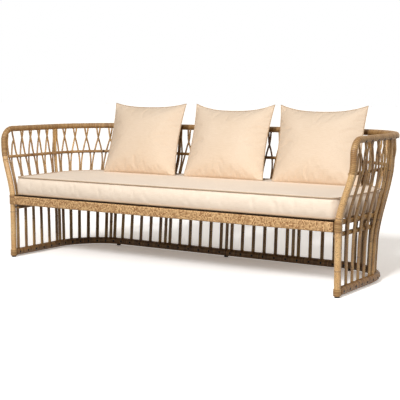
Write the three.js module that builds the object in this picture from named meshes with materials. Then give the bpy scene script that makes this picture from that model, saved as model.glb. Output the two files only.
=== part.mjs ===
// A garden sofa of bent rattan. Two front posts and a U of wrapped pole round the back carry a cage
// of thin canes; a boxed seat cushion lies on a slatted seat, and three scatter pillows lean on the back.
// Millimetres. +X is the right-hand side seen from the front, +Y is the back, and +Z is up.
import * as THREE from 'three';

// Plan of the frame, on the centre line of the rails at the floor
const postSpan = 1995;
const frameDepth = 652;
const cornerRadius = 275;

// Heights of the rails, and how far the top of the cage stands out from its foot
const topRailHeight = 714;
const midRailDrop = 154;
const sideFlare = 67;
const backFlare = 134;
const postLean = 8;
const topCornerRadius = 372;
const postFlareStart = 320;
const postFlareDrop = 94;
const backFlareStart = 190;
const backFlareDrop = 124;
const backLeanShare = 0.35;

// Poles
const postDiameter = 31;
const topRailDiameter = 32;
const baseRailDiameter = 40;
const midRailDiameter = 17;
const strutDiameter = 18;
const seatRailDiameter = 26;
const lowerRailDiameter = 22;
const bearerDiameter = 24;
const slatDiameter = 14;
const frontBendRadius = 65;

// Canes, in touching pairs that part above the seat
const caneDiameter = 10;
const splitDrop = 239;
const crossDrop = 74;
const crossLength = 24;
const midSpread = 11.5;
const topSpread = 26;
const postTopSpread = 8;

// Seat frame
const apronTop = 349;
const apronHeight = 52;
const apronDepth = 34;
const apronEdge = 7;
const lowerRailDrop = 55;
const slatFrontGap = 85;
const slatBackGap = 60;

// Bindings and feet
const bindingWall = 3;
const footBindingHeight = 34;
const glideDiameter = 24;
const glideHeight = 7.1;
const glideInset = 38;

// Seat cushion
const cushionInset = 22;
const cushionFront = -2;
const cushionEdgeHeight = 89;
const cushionCrown = 15;
const cushionSideBulge = 6;
const cushionFrontRadius = 45;
const pipingRise = 9;
const crownPower = 4;
const frontCornerTurns = [0, 30, 60, 90];

// Scatter pillows
const pillowWidth = 510;
const pillowHeight = 440;
const pillowThickness = 150;
const pillowSag = 38;
const pillowSideDraw = 15;
const pillowBackGap = 100;
const leftPillowGap = 414.5;
const leftFootShift = 46;
const middlePillowOffset = 1;
const middleFootShift = 32;
const rightPillowGap = 447.5;
const rightFootShift = 50;
const bellyEdgePower = 2.4;
const bellyRisePower = 0.62;
const pillowLeanAngle = THREE.MathUtils.degToRad(25);

// Clearances between pieces
const clearance = 0.3;
const softClearance = 0.4;

// Counts: pairs of canes in each panel from the back's centre to the front post, the pitches from
// there to the corner's start and to its end, and the seat's slats
const panelPairs = [6, 6, 6, 6];
const cornerStartPitch = 10.3;
const cornerEndPitch = 18.2;
const slatCount = 5;

// Steps and sides of the faceted rounds
const railSides = 10;
const poleSides = 8;
const bindingSides = 12;
const glideSides = 16;
const cornerSteps = 8;
const apronEdgeSteps = 3;
const cushionRearSteps = 6;

// Shares of each interval at which the faceted shapes have a ring of points
const belowSeatShares = [0.5];
const lowerRowShares = [0.5];
const bendShares = [0, 0.16, 0.3, 0.7, 0.85, 1];
const pillowGridShares = [-1, -0.93, -0.78, -0.55, -0.28, 0, 0.28, 0.55, 0.78, 0.93, 1];
const cushionSideShares = [0.3, 0.65];
const cushionHalfShares = [0.2, 0.37, 0.5, 0.7, 0.87, 0.96, 1];
const spreadBelowCrossShare = 0.5;
const spreadAboveCrossShare = 0.35;

// Worked out from the values above
const midRailHeight = topRailHeight - midRailDrop;
const postFlareEnd = topRailHeight - postFlareDrop;
const backFlareEnd = topRailHeight - backFlareDrop;
const splitHeight = topRailHeight - splitDrop;
const crossHeight = topRailHeight - crossDrop;
const pillowFootSetback = frameDepth - pillowBackGap;
const halfSpan = postSpan / 2;
const pillowPlaces = [
  { name: 'pillow_left', centre: leftPillowGap - halfSpan, footShift: leftFootShift },
  { name: 'pillow_middle', centre: middlePillowOffset, footShift: middleFootShift },
  { name: 'pillow_right', centre: halfSpan - rightPillowGap, footShift: rightFootShift },
];
const pitchCount = panelPairs.reduce((sum, pairs) => sum + pairs, 0);
const postRadius = postDiameter / 2;
const strutRadius = strutDiameter / 2;
const caneRadius = caneDiameter / 2;
const topRailRadius = topRailDiameter / 2;
const midRailRadius = midRailDiameter / 2;
const seatRailRadius = seatRailDiameter / 2;
const lowerRailRadius = lowerRailDiameter / 2;
const bindingRadius = postRadius + bindingWall;
const flatOf = (sides) => Math.cos(Math.PI / sides);
const baseRailRadius = baseRailDiameter / 2;
const baseRailFace = baseRailRadius * flatOf(railSides);
const seatRailFace = seatRailRadius * flatOf(poleSides);
const baseRailHeight = glideHeight + clearance + baseRailFace;
const caneFoot = baseRailHeight + baseRailFace + clearance;
const caneTop = topRailHeight - topRailRadius * flatOf(railSides) - clearance;
const apronBottom = apronTop - apronHeight;
const seatRailHeight = apronTop - seatRailRadius;
const lowerRailHeight = seatRailHeight - lowerRailDrop;
const slatHeight = apronTop - slatDiameter / 2;
const bearerHeight = slatHeight - slatDiameter / 2 - clearance - bearerDiameter / 2;
const crossBottom = crossHeight - crossLength / 2;
const crossTop = crossHeight + crossLength / 2;

// Heights at which the faceted uprights have a ring of points, lowest first
const postBends = bendShares.map((share) => THREE.MathUtils.lerp(postFlareStart, postFlareEnd, share));
const backBends = bendShares.map((share) => THREE.MathUtils.lerp(backFlareStart, backFlareEnd, share));
const joinHeights = [apronBottom, seatRailHeight, apronTop, splitHeight, midRailHeight];
const bendHeights = [...postBends, ...backBends, ...joinHeights].sort((a, b) => a - b);

// Finishes, one material a mesh
const finishes = {
  wrap: { color: '#c29a66', roughness: 0.62, metalness: 0 },
  peeledCane: { color: '#cfa566', roughness: 0.42, metalness: 0 },
  weave: { color: '#c8986a', roughness: 0.7, metalness: 0 },
  frameCane: { color: '#8a673d', roughness: 0.55, metalness: 0 },
  glide: { color: '#2a2420', roughness: 0.8, metalness: 0 },
  seatCloth: { color: '#f3e4d2', roughness: 0.9, metalness: 0 },
  pillowCloth: { color: '#efd9bf', roughness: 0.92, metalness: 0 },
};

const sofa = new THREE.Group();

function addPiece(name, geometry, finish) {
  const mesh = new THREE.Mesh(geometry, new THREE.MeshStandardMaterial(finishes[finish]));
  mesh.name = name;
  sofa.add(mesh);
  return mesh;
}

// Plan and flare: a place on the cage is its number of pitches k from the back's centre, positive to
// the right, its height z, and how far it lies inward of the rails' centre line.

function easedShare(value, start, end) {
  const t = THREE.MathUtils.clamp((value - start) / (end - start), 0, 1);
  return t * t * (3 - 2 * t);
}

// The cage's plan at height z: its corners and back flare from lower down than its front posts
function planAt(z) {
  const leanShare = THREE.MathUtils.clamp((z - baseRailHeight) / (topRailHeight - baseRailHeight), 0, 1);
  const share = THREE.MathUtils.lerp(easedShare(z, backFlareStart, backFlareEnd), leanShare, backLeanShare);
  const postShare = easedShare(z, postFlareStart, postFlareEnd);
  const radius = THREE.MathUtils.lerp(cornerRadius, topCornerRadius, share);
  const halfWidth = halfSpan + sideFlare * share;
  const depth = frameDepth + backFlare * share;
  return {
    halfWidth,
    depth,
    radius,
    halfBack: halfWidth - radius,
    sideEnd: depth - radius,
    postX: halfSpan + sideFlare * postShare,
    postY: postLean * postShare,
  };
}

function cagePoint(k, z, inward = 0) {
  const plan = planAt(z);
  const along = Math.abs(k);
  const backShare = Math.min(along / cornerStartPitch, 1);
  const cornerShare = (along - cornerStartPitch) / (cornerEndPitch - cornerStartPitch);
  const angle = (Math.PI / 2) * THREE.MathUtils.clamp(cornerShare, 0, 1);
  const armShare = Math.max((along - cornerEndPitch) / (pitchCount - cornerEndPitch), 0);
  const x = plan.halfBack * backShare + (plan.radius - inward) * Math.sin(angle);
  const y = plan.sideEnd + (plan.radius - inward) * Math.cos(angle);
  const armX = THREE.MathUtils.lerp(x, plan.postX - inward, armShare);
  return new THREE.Vector3(Math.sign(k) * armX, THREE.MathUtils.lerp(y, plan.postY, armShare), z);
}

// The length of one pitch on the cage at height z, beside the place k
function pitchLength(k, z) {
  const plan = planAt(z);
  const along = Math.abs(k);
  if (along < cornerStartPitch) return plan.halfBack / cornerStartPitch;
  if (along < cornerEndPitch) return ((Math.PI / 2) * plan.radius) / (cornerEndPitch - cornerStartPitch);
  return (plan.sideEnd - plan.postY) / (pitchCount - cornerEndPitch);
}

// The place on an arm that lies a given depth behind the post's centre line at the floor
function armPlace(y, z) {
  return pitchCount - (y - planAt(z).postY) / pitchLength(pitchCount, z);
}

// How far inward a rail's centre lies when it touches the inner face of the leaning struts
function inwardBesideStruts(railRadius, z) {
  const t = THREE.MathUtils.clamp((z - backFlareStart) / (backFlareEnd - backFlareStart), 0, 1);
  const easedSlope = (6 * t * (1 - t)) / (backFlareEnd - backFlareStart);
  const leanSlope = 1 / (topRailHeight - baseRailHeight);
  const slope = Math.max(sideFlare, backFlare) * THREE.MathUtils.lerp(easedSlope, leanSlope, backLeanShare);
  return strutRadius + (railRadius + clearance) * Math.hypot(1, slope);
}

function besidePost(railInward, railRadius, postOuterRadius) {
  const near = Math.max(railInward - railRadius, 0);
  const reach = postOuterRadius + clearance;
  return Math.sqrt(Math.max(reach * reach - near * near, 0));
}

// A path whose steps fall on its own parameter, so that a bend can have more of them than a straight
class Route extends THREE.Curve {
  constructor(pointAt) {
    super();
    this.pointAt = pointAt;
  }
  getPoint(t, target = new THREE.Vector3()) {
    return target.copy(this.pointAt(t));
  }
  getPointAt(u, target) {
    return this.getPoint(u, target);
  }
  getTangentAt(u, target) {
    return this.getTangent(u, target);
  }
}

function roundSection(radius, sides) {
  const points = [];
  for (let i = 0; i < sides; i += 1) {
    const angle = (2 * Math.PI * (i + 0.5)) / sides;
    points.push(new THREE.Vector2(radius * Math.cos(angle), radius * Math.sin(angle)));
  }
  return new THREE.Shape(points);
}

function pole(radius, sides, steps, pointAt) {
  const extrudePath = new Route(pointAt);
  return new THREE.ExtrudeGeometry(roundSection(radius, sides), { steps, extrudePath, bevelEnabled: false });
}

// An upright along a path given by its height, with a ring of points at each height where it bends
function uprightPath(from, to, pointAtHeight) {
  const inner = bendHeights.filter((z) => z > from + clearance && z < to - clearance);
  const heights = [from, ...inner, to];
  const steps = heights.length - 1;
  const extrudePath = new Route((t) => {
    const i = Math.min(Math.floor(t * steps), steps - 1);
    return pointAtHeight(THREE.MathUtils.lerp(heights[i], heights[i + 1], t * steps - i));
  });
  return { steps, extrudePath, bevelEnabled: false };
}

function straightPole(radius, sides, from, to) {
  return pole(radius, sides, 1, (t) => new THREE.Vector3().lerpVectors(from, to, t));
}

// The rail of one back corner at one height, from the arm's end to the back's end
function cornerRail(radius, z, side) {
  const ends = [side * cornerEndPitch, side * cornerStartPitch];
  return pole(radius, railSides, cornerSteps, (t) => cagePoint(THREE.MathUtils.lerp(...ends, t), z));
}

// The rail of the straight back at one height
function backRail(radius, sides, z, inward, endGap) {
  const { halfBack, depth } = planAt(z);
  const from = new THREE.Vector3(endGap - halfBack, depth - inward, z);
  const to = new THREE.Vector3(halfBack - endGap, depth - inward, z);
  return straightPole(radius, sides, from, to);
}

// A rail along one arm and round its corner: one step for the straight, the rest for the bend
function armAndCornerRail(radius, z, inward, side, kFront) {
  const steps = cornerSteps + 1;
  const kBack = cornerStartPitch + clearance / pitchLength(cornerStartPitch, z);
  return pole(radius, poleSides, steps, (t) => {
    const step = t * steps;
    const k = step < 1
      ? THREE.MathUtils.lerp(kFront, cornerEndPitch, step)
      : THREE.MathUtils.lerp(cornerEndPitch, kBack, (step - 1) / cornerSteps);
    return cagePoint(side * k, z, inward);
  });
}

// Front posts, peeled cane from the glide up to where the wrap begins
function frontPost(side) {
  const path = uprightPath(glideHeight + clearance, midRailHeight, (z) => cagePoint(side * pitchCount, z));
  return new THREE.ExtrudeGeometry(roundSection(postRadius, railSides), path);
}

// Arm rails, wrapped: up from the post, round the front bend and back to the corner
function armRail(side) {
  const bendBottom = topRailHeight - frontBendRadius;
  const bendCentreY = postLean + frontBendRadius;
  const start = midRailHeight + clearance;
  const riseSteps = 3;
  const bendSteps = 7;
  const steps = riseSteps + bendSteps + 1;
  const { postX, sideEnd } = planAt(topRailHeight);
  return pole(topRailRadius, railSides, steps, (t) => {
    const step = t * steps;
    if (step < riseSteps) {
      return cagePoint(side * pitchCount, THREE.MathUtils.lerp(start, bendBottom, step / riseSteps));
    }
    if (step < riseSteps + bendSteps) {
      const angle = ((step - riseSteps) / bendSteps) * (Math.PI / 2);
      const y = bendCentreY - frontBendRadius * Math.cos(angle);
      const z = bendBottom + frontBendRadius * Math.sin(angle);
      return new THREE.Vector3(side * postX, y, z);
    }
    const y = THREE.MathUtils.lerp(bendCentreY, sideEnd - clearance, step - riseSteps - bendSteps);
    return new THREE.Vector3(side * postX, y, topRailHeight);
  });
}

// The underside of the top rail above a place on an arm, lower where the front bend comes down
function topRailUnderside(y) {
  const bendCentreY = postLean + frontBendRadius;
  const innerRadius = frontBendRadius - topRailRadius - clearance;
  if (y >= bendCentreY) return caneTop;
  const rise = Math.sqrt(Math.max(innerRadius ** 2 - (bendCentreY - y) ** 2, 0));
  return topRailHeight - frontBendRadius + rise;
}

// Cane panels: cells laid in rows from the base rail to the top rail, each cell a short length of
// cane. A pair is one cell wide up to the split; above it each cane has cells of its own, which
// join the neighbouring cane's where the two are bound together.

function panelRows() {
  const between = lowerRowShares.map((share) => THREE.MathUtils.lerp(seatRailHeight, splitHeight, share));
  const below = belowSeatShares.map((share) => THREE.MathUtils.lerp(backFlareStart, seatRailHeight, share));
  const belowCross = THREE.MathUtils.lerp(midRailHeight, crossBottom, spreadBelowCrossShare);
  return {
    pair: [caneFoot, backFlareStart, ...below, seatRailHeight, ...between, splitHeight],
    cane: [splitHeight, midRailHeight, belowCross, crossBottom, crossTop],
  };
}

class CellMesh {
  constructor() {
    this.triangles = [];
  }
  // A wall between two lists of points that run side by side, seen from its outer side with a below b
  strip(a, b) {
    let i = 0;
    let j = 0;
    while (i < a.length - 1 || j < b.length - 1) {
      const atEnd = j === b.length - 1;
      const stepA = i < a.length - 1 && (atEnd || (i + 1) * (b.length - 1) <= (j + 1) * (a.length - 1));
      if (stepA) {
        this.triangles.push(a[i], a[i + 1], b[j]);
        i += 1;
      } else {
        this.triangles.push(a[i], b[j + 1], b[j]);
        j += 1;
      }
    }
  }
  geometry() {
    const positions = this.triangles.flatMap((point) => [point.x, point.y, point.z]);
    const geometry = new THREE.BufferGeometry();
    geometry.setAttribute('position', new THREE.Float32BufferAttribute(positions, 3));
    geometry.computeVertexNormals();
    return geometry;
  }
}

// One cell between two rows. Each row gives its height and the places of its left and right edges,
// with any point between them; open says which of its sides have no neighbour.
function addCell(mesh, lower, upper, open) {
  const innerFace = strutRadius;
  const outerFace = strutRadius - caneDiameter;
  const inner = (row) => row.places.map((s) => cagePoint(s, row.z, innerFace));
  const outer = (row) => row.places.map((s) => cagePoint(s, row.z, outerFace));
  const [lowerIn, upperIn, lowerOut, upperOut] = [inner(lower), inner(upper), outer(lower), outer(upper)];
  const last = (list) => list[list.length - 1];
  mesh.strip(lowerIn, upperIn);
  mesh.strip([...lowerOut].reverse(), [...upperOut].reverse());
  if (open.left) mesh.strip([lowerOut[0], lowerIn[0]], [upperOut[0], upperIn[0]]);
  if (open.right) mesh.strip([last(lowerIn), last(lowerOut)], [last(upperIn), last(upperOut)]);
  if (open.bottom) mesh.strip(lowerOut, lowerIn);
  if (open.top) mesh.strip(upperIn, upperOut);
}

// How far a cane's centre may lie from its pair's centre beside what stands at the next pitch line
function spreadLimit(neighbourRadius, k, z) {
  return pitchLength(k, z) / 2 - neighbourRadius - caneRadius - clearance;
}

function canePanel(firstPitch, lastPitch) {
  const mesh = new CellMesh();
  const rows = panelRows();
  for (let k = firstPitch; k < lastPitch; k += 1) {
    const centre = k + 0.5;
    const widthAt = (z) => caneDiameter / pitchLength(centre, z);
    const pairRow = (z) => ({ z, places: [centre - widthAt(z), centre + widthAt(z)] });
    for (let i = 0; i < rows.pair.length - 1; i += 1) {
      const lower = pairRow(rows.pair[i]);
      const upper = pairRow(rows.pair[i + 1]);
      const atSplit = i === rows.pair.length - 2;
      if (atSplit) upper.places.splice(1, 0, centre);
      addCell(mesh, lower, upper, { left: true, right: true, bottom: i === 0, top: false });
    }
    for (const hand of [-1, 1]) addCane(mesh, rows.cane, k, hand, firstPitch, lastPitch, widthAt);
  }
  return mesh.geometry();
}

// The upper length of one cane of a pair, on its left (hand -1) or right (hand 1)
function addCane(mesh, heights, k, hand, firstPitch, lastPitch, widthAt) {
  const centre = k + 0.5;
  const pitchLine = hand < 0 ? k : k + 1;
  const bound = pitchLine !== firstPitch && pitchLine !== lastPitch;
  const atPost = Math.abs(pitchLine) === pitchCount;
  const limitAt = (z) => spreadLimit(atPost ? topRailRadius : strutRadius, centre, z);
  const caneRow = (z, spread) => {
    const middle = centre + (hand * spread) / pitchLength(centre, z);
    return { z, places: [middle - widthAt(z) / 2, middle + widthAt(z) / 2] };
  };
  const boundRow = (z) => {
    const inside = pitchLine - hand * widthAt(z);
    return { z, places: hand < 0 ? [pitchLine, inside] : [inside, pitchLine] };
  };
  const [split, middle, belowCross, crossLow, crossHigh] = heights;
  const spreadAtCross = (z) => (bound ? pitchLength(centre, z) / 2 - caneRadius : limitAt(z));
  const midWidth = Math.min(midSpread, limitAt(middle));
  const belowWidth = THREE.MathUtils.lerp(midWidth, spreadAtCross(belowCross), spreadBelowCrossShare);
  const path = [caneRow(split, caneRadius), caneRow(middle, midWidth), caneRow(belowCross, belowWidth)];
  path[0].places[hand < 0 ? 1 : 0] = centre;
  const crossRow = bound ? boundRow : (z) => caneRow(z, limitAt(z));
  path.push(crossRow(crossLow), crossRow(crossHigh));
  const endLimit = bound ? pitchLength(centre, caneTop) / 2 - caneRadius - clearance : limitAt(caneTop);
  const endSpread = Math.min(atPost ? postTopSpread : topSpread, endLimit);
  const frontEdge = centre + (Math.sign(centre) * (endSpread + caneRadius)) / pitchLength(centre, caneTop);
  const end = Math.min(topRailUnderside(cagePoint(frontEdge, caneTop).y), caneTop);
  const aboveCross = (crossHigh + end) / 2;
  const aboveWidth = THREE.MathUtils.lerp(spreadAtCross(aboveCross), endSpread, spreadAboveCrossShare);
  path.push(caneRow(aboveCross, aboveWidth), caneRow(end, endSpread));
  for (let i = 0; i < path.length - 1; i += 1) {
    const joined = bound && path[i].z === crossLow;
    const open = { left: !(joined && hand < 0), right: !(joined && hand > 0), bottom: false };
    open.top = i === path.length - 2;
    addCell(mesh, path[i], path[i + 1], open);
  }
}

// Struts, round poles from the base rail to the top rail, cut a little short at both ends because their
// ends lean with them
function strut(k) {
  const path = uprightPath(caneFoot + clearance, caneTop - clearance, (z) => cagePoint(k, z));
  return new THREE.ExtrudeGeometry(roundSection(strutRadius, poleSides), path);
}

// Collars of wrap that follow a post. The bore's facets touch its circle from outside, so that the
// round post passes through.
function collar(side, from, to) {
  const section = roundSection(bindingRadius, bindingSides);
  const bore = (postRadius + clearance) / flatOf(bindingSides);
  section.holes.push(new THREE.Path(roundSection(bore, bindingSides).getPoints().reverse()));
  return new THREE.ExtrudeGeometry(section, uprightPath(from, to, (z) => cagePoint(side * pitchCount, z)));
}

function apron() {
  const halfDepth = apronDepth / 2;
  const halfHeight = apronHeight / 2;
  const shape = new THREE.Shape();
  shape.moveTo(-halfDepth + apronEdge, -halfHeight);
  shape.lineTo(halfDepth - apronEdge, -halfHeight);
  shape.absarc(halfDepth - apronEdge, -halfHeight + apronEdge, apronEdge, -Math.PI / 2, 0);
  shape.absarc(halfDepth - apronEdge, halfHeight - apronEdge, apronEdge, 0, Math.PI / 2);
  shape.absarc(-halfDepth + apronEdge, halfHeight - apronEdge, apronEdge, Math.PI / 2, Math.PI);
  shape.absarc(-halfDepth + apronEdge, -halfHeight + apronEdge, apronEdge, Math.PI, 1.5 * Math.PI);
  const length = 2 * (halfSpan - bindingRadius - clearance);
  const options = { depth: length, curveSegments: apronEdgeSteps, bevelEnabled: false };
  const geometry = new THREE.ExtrudeGeometry(shape, options);
  geometry.translate(0, 0, -length / 2);
  return geometry;
}

// The space inside the cage at one height, drawn in by an inset from the rails' centre line. In the
// corners it ends at the chords of the faceted rails.

function insideHalfWidth(y, z, inset) {
  const { halfWidth, halfBack, sideEnd, radius, postX, postY } = planAt(z);
  const reach = (radius - inset) * flatOf(4 * cornerSteps);
  if (y > sideEnd) return halfBack + Math.sqrt(Math.max(reach ** 2 - (y - sideEnd) ** 2, 0));
  return THREE.MathUtils.mapLinear(Math.max(y, postY), postY, sideEnd, postX, halfWidth) - inset;
}

function insideDepth(x, z, inset) {
  const { halfBack, sideEnd, radius } = planAt(z);
  const past = Math.abs(x) - halfBack;
  if (past < 0) return sideEnd + radius - inset;
  const reach = (radius - inset) * flatOf(4 * cornerSteps);
  return sideEnd + Math.sqrt(Math.max(reach ** 2 - past ** 2, 0));
}

// A closed soft form from a front face and a back face on the same grid, whose outer points meet
function closedGrid(columns, rows, frontPoint, backPoint) {
  const mesh = new CellMesh();
  const row = (j, pointAt) => {
    const points = [];
    for (let i = 0; i < columns; i += 1) points.push(pointAt(i, j));
    return points;
  };
  for (let j = 0; j < rows - 1; j += 1) {
    mesh.strip(row(j, frontPoint), row(j + 1, frontPoint));
    mesh.strip(row(j, backPoint).reverse(), row(j + 1, backPoint).reverse());
  }
  return mesh;
}

// A scatter pillow: pointed corners, edges drawn in between them, and a belly that swells from a
// knife edge. Its foot rests on the seat at the origin and it stands up along Z, facing -Y.
function pillow(place) {
  const shares = pillowGridShares;
  const count = shares.length;
  const edge = (v) => 1 - v * v;
  const rise = (u) => (1 - Math.abs(u) ** bellyEdgePower) ** bellyRisePower;
  const pointAt = (hand) => (i, j) => {
    const u = shares[i];
    const v = shares[j];
    const foot = (1 - v) / 2;
    const halfWidth = pillowWidth / 2 - pillowSideDraw * edge(v);
    const x = u * halfWidth + place.footShift * foot;
    const z = pillowHeight * (1 + v) / 2 - (v > 0 ? pillowSag : pillowSideDraw) * v * edge(u);
    return new THREE.Vector3(x, (hand * pillowThickness * rise(u) * rise(v)) / 2, z);
  };
  return closedGrid(count, count, pointAt(-1), pointAt(1)).geometry();
}

// How much of its crown the seat cushion has at a share u of its half width and a depth y
function cushionSwell(u, y) {
  const back = planAt(apronTop).depth - cushionInset;
  const v = (2 * (y - cushionFront)) / (back - cushionFront) - 1;
  return (1 - Math.abs(u) ** crownPower) * (1 - Math.abs(v) ** crownPower);
}

// The boxed seat cushion: it fills the plan inside the cage, with square front corners rounded by a
// small radius, a crowned top, and sides that swell between two lines of piping
function seatCushion() {
  const plan = planAt(apronTop);
  const front = cushionFront;
  const back = plan.depth - cushionInset;
  const rearCentre = plan.sideEnd;
  const rearRadius = plan.radius - cushionInset;
  const sideX = plan.halfWidth - cushionInset;
  const rowPlaces = [];
  for (const angle of frontCornerTurns) {
    const turn = THREE.MathUtils.degToRad(angle);
    const y = front + cushionFrontRadius * (1 - Math.cos(turn));
    const straight = insideHalfWidth(y, apronTop, cushionInset);
    rowPlaces.push({ y, halfWidth: straight - cushionFrontRadius * (1 - Math.sin(turn)) });
  }
  for (const share of cushionSideShares) {
    const y = THREE.MathUtils.lerp(front + cushionFrontRadius, rearCentre, share);
    rowPlaces.push({ y, halfWidth: insideHalfWidth(y, apronTop, cushionInset) });
  }
  for (let i = 0; i <= cushionRearSteps; i += 1) {
    const turn = (i / cushionRearSteps) * (Math.PI / 2);
    rowPlaces.push({
      y: rearCentre + rearRadius * Math.sin(turn),
      halfWidth: sideX - rearRadius * (1 - Math.cos(turn)),
    });
  }
  const mirroredShares = cushionHalfShares.map((share) => -share).reverse();
  const columnShares = [...mirroredShares, 0, ...cushionHalfShares];
  const bottom = apronTop + softClearance;
  const seam = bottom + cushionEdgeHeight;
  const centreY = (front + back) / 2;
  const crownAt = (i, j) => cushionCrown * cushionSwell(columnShares[i], rowPlaces[j].y);
  const faceAt = (i, j, inset) => {
    const { y, halfWidth } = rowPlaces[j];
    const x = columnShares[i] * (halfWidth - inset);
    return [x, centreY + (y - centreY) * (1 - (2 * inset) / (back - front))];
  };
  const top = (i, j) => new THREE.Vector3(...faceAt(i, j, cushionSideBulge), seam + crownAt(i, j));
  const base = (i, j) => new THREE.Vector3(...faceAt(i, j, cushionSideBulge), bottom);
  const mesh = closedGrid(columnShares.length, rowPlaces.length, top, base);
  const rim = [];
  const lastRow = rowPlaces.length - 1;
  const lastColumn = columnShares.length - 1;
  for (let i = 0; i <= lastColumn; i += 1) rim.push([i, 0]);
  for (let j = 1; j <= lastRow; j += 1) rim.push([lastColumn, j]);
  for (let i = lastColumn - 1; i >= 0; i -= 1) rim.push([i, lastRow]);
  for (let j = lastRow - 1; j >= 0; j -= 1) rim.push([0, j]);
  const levels = [
    { z: bottom, inset: cushionSideBulge },
    { z: bottom + pipingRise, inset: cushionSideBulge / 2 },
    { z: (bottom + seam) / 2, inset: 0 },
    { z: seam - pipingRise, inset: cushionSideBulge / 2 },
    { z: seam, inset: cushionSideBulge },
  ];
  for (let n = 0; n < levels.length - 1; n += 1) {
    const loop = (level) => rim.map(([i, j]) => new THREE.Vector3(...faceAt(i, j, level.inset), level.z));
    mesh.strip(loop(levels[n]), loop(levels[n + 1]));
  }
  return mesh.geometry();
}

// Posts, wrapped rails and base rails
for (const side of [-1, 1]) {
  const hand = side < 0 ? 'left' : 'right';
  addPiece(`${hand}_front_post`, frontPost(side), 'peeledCane');
  addPiece(`${hand}_arm_rail`, armRail(side), 'wrap');
  addPiece(`${hand}_top_corner_rail`, cornerRail(topRailRadius, topRailHeight, side), 'wrap');
  const { sideEnd } = planAt(baseRailHeight);
  const baseFrom = new THREE.Vector3(side * halfSpan, bindingRadius + clearance, baseRailHeight);
  const baseTo = new THREE.Vector3(side * halfSpan, sideEnd - clearance, baseRailHeight);
  addPiece(`${hand}_base_rail`, straightPole(baseRailRadius, railSides, baseFrom, baseTo), 'wrap');
  addPiece(`${hand}_base_corner_rail`, cornerRail(baseRailRadius, baseRailHeight, side), 'wrap');
}
addPiece('back_top_rail', backRail(topRailRadius, railSides, topRailHeight, 0, clearance), 'wrap');
addPiece('back_base_rail', backRail(baseRailRadius, railSides, baseRailHeight, 0, clearance), 'wrap');

// Struts and cane panels between them
const strutPitches = [0];
for (const pairs of panelPairs) strutPitches.push(strutPitches[strutPitches.length - 1] + pairs);
const panelNames = ['back_inner', 'back_outer', 'corner', 'arm'];
addPiece('centre_strut', strut(0), 'frameCane');
for (const side of [-1, 1]) {
  const hand = side < 0 ? 'left' : 'right';
  for (let n = 1; n < panelPairs.length; n += 1) {
    addPiece(`${hand}_strut_${n}`, strut(side * strutPitches[n]), 'frameCane');
  }
  for (let n = 0; n < panelPairs.length; n += 1) {
    const ends = [side * strutPitches[n], side * strutPitches[n + 1]].sort((a, b) => a - b);
    addPiece(`${hand}_${panelNames[n]}_canes`, canePanel(...ends), 'frameCane');
  }
}

// Rails inside the cage: one at the middle of the back, one under the cushion's edge, one below it
const apronBack = apronDepth / 2;
const midRail = { name: 'mid_rail', radius: midRailRadius, height: midRailHeight };
const seatRail = { name: 'seat_rail', radius: seatRailRadius, height: seatRailHeight };
const lowerRail = { name: 'lower_rail', radius: lowerRailRadius, height: lowerRailHeight };
const insideRails = [
  { ...midRail, post: topRailRadius, front: 0 },
  { ...seatRail, post: bindingRadius, front: apronBack },
  { ...lowerRail, post: postRadius, front: 0 },
];
for (const { name, radius, height, post, front } of insideRails) {
  const inward = inwardBesideStruts(radius, height);
  const { postY } = planAt(height);
  const frontY = Math.max(postY + besidePost(inward, radius, post), front + clearance);
  for (const side of [-1, 1]) {
    const hand = side < 0 ? 'left' : 'right';
    const geometry = armAndCornerRail(radius, height, inward, side, armPlace(frontY, height));
    addPiece(`${hand}_${name}`, geometry, 'frameCane');
  }
  addPiece(`back_${name}`, backRail(radius, poleSides, height, inward, 0), 'frameCane');
}

// Seat apron, bearers and slats
const apronMesh = addPiece('seat_apron', apron(), 'weave');
apronMesh.rotation.set(Math.PI / 2, Math.PI / 2, 0);
apronMesh.position.z = apronTop - apronHeight / 2;
const insideSeatRail = inwardBesideStruts(seatRailRadius, seatRailHeight) + seatRailFace + clearance;
const bearerPitches = [-strutPitches[2], -strutPitches[1], 0, strutPitches[1], strutPitches[2]];
bearerPitches.forEach((k, index) => {
  const x = cagePoint(k, bearerHeight).x;
  const farEdge = Math.abs(x) + bearerDiameter / 2;
  const from = new THREE.Vector3(x, apronBack + clearance, bearerHeight);
  const to = new THREE.Vector3(x, insideDepth(farEdge, seatRailHeight, insideSeatRail), bearerHeight);
  addPiece(`seat_bearer_${index + 1}`, straightPole(bearerDiameter / 2, poleSides, from, to), 'frameCane');
});
const lastSlatY = planAt(seatRailHeight).depth - slatBackGap;
for (let n = 0; n < slatCount; n += 1) {
  const y = THREE.MathUtils.lerp(slatFrontGap, lastSlatY, n / (slatCount - 1));
  const edges = [y - slatDiameter / 2, y + slatDiameter / 2];
  const half = Math.min(...edges.map((edge) => insideHalfWidth(edge, seatRailHeight, insideSeatRail)));
  const from = new THREE.Vector3(-half, y, slatHeight);
  const to = new THREE.Vector3(half, y, slatHeight);
  addPiece(`seat_slat_${n + 1}`, straightPole(slatDiameter / 2, poleSides, from, to), 'frameCane');
}

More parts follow.
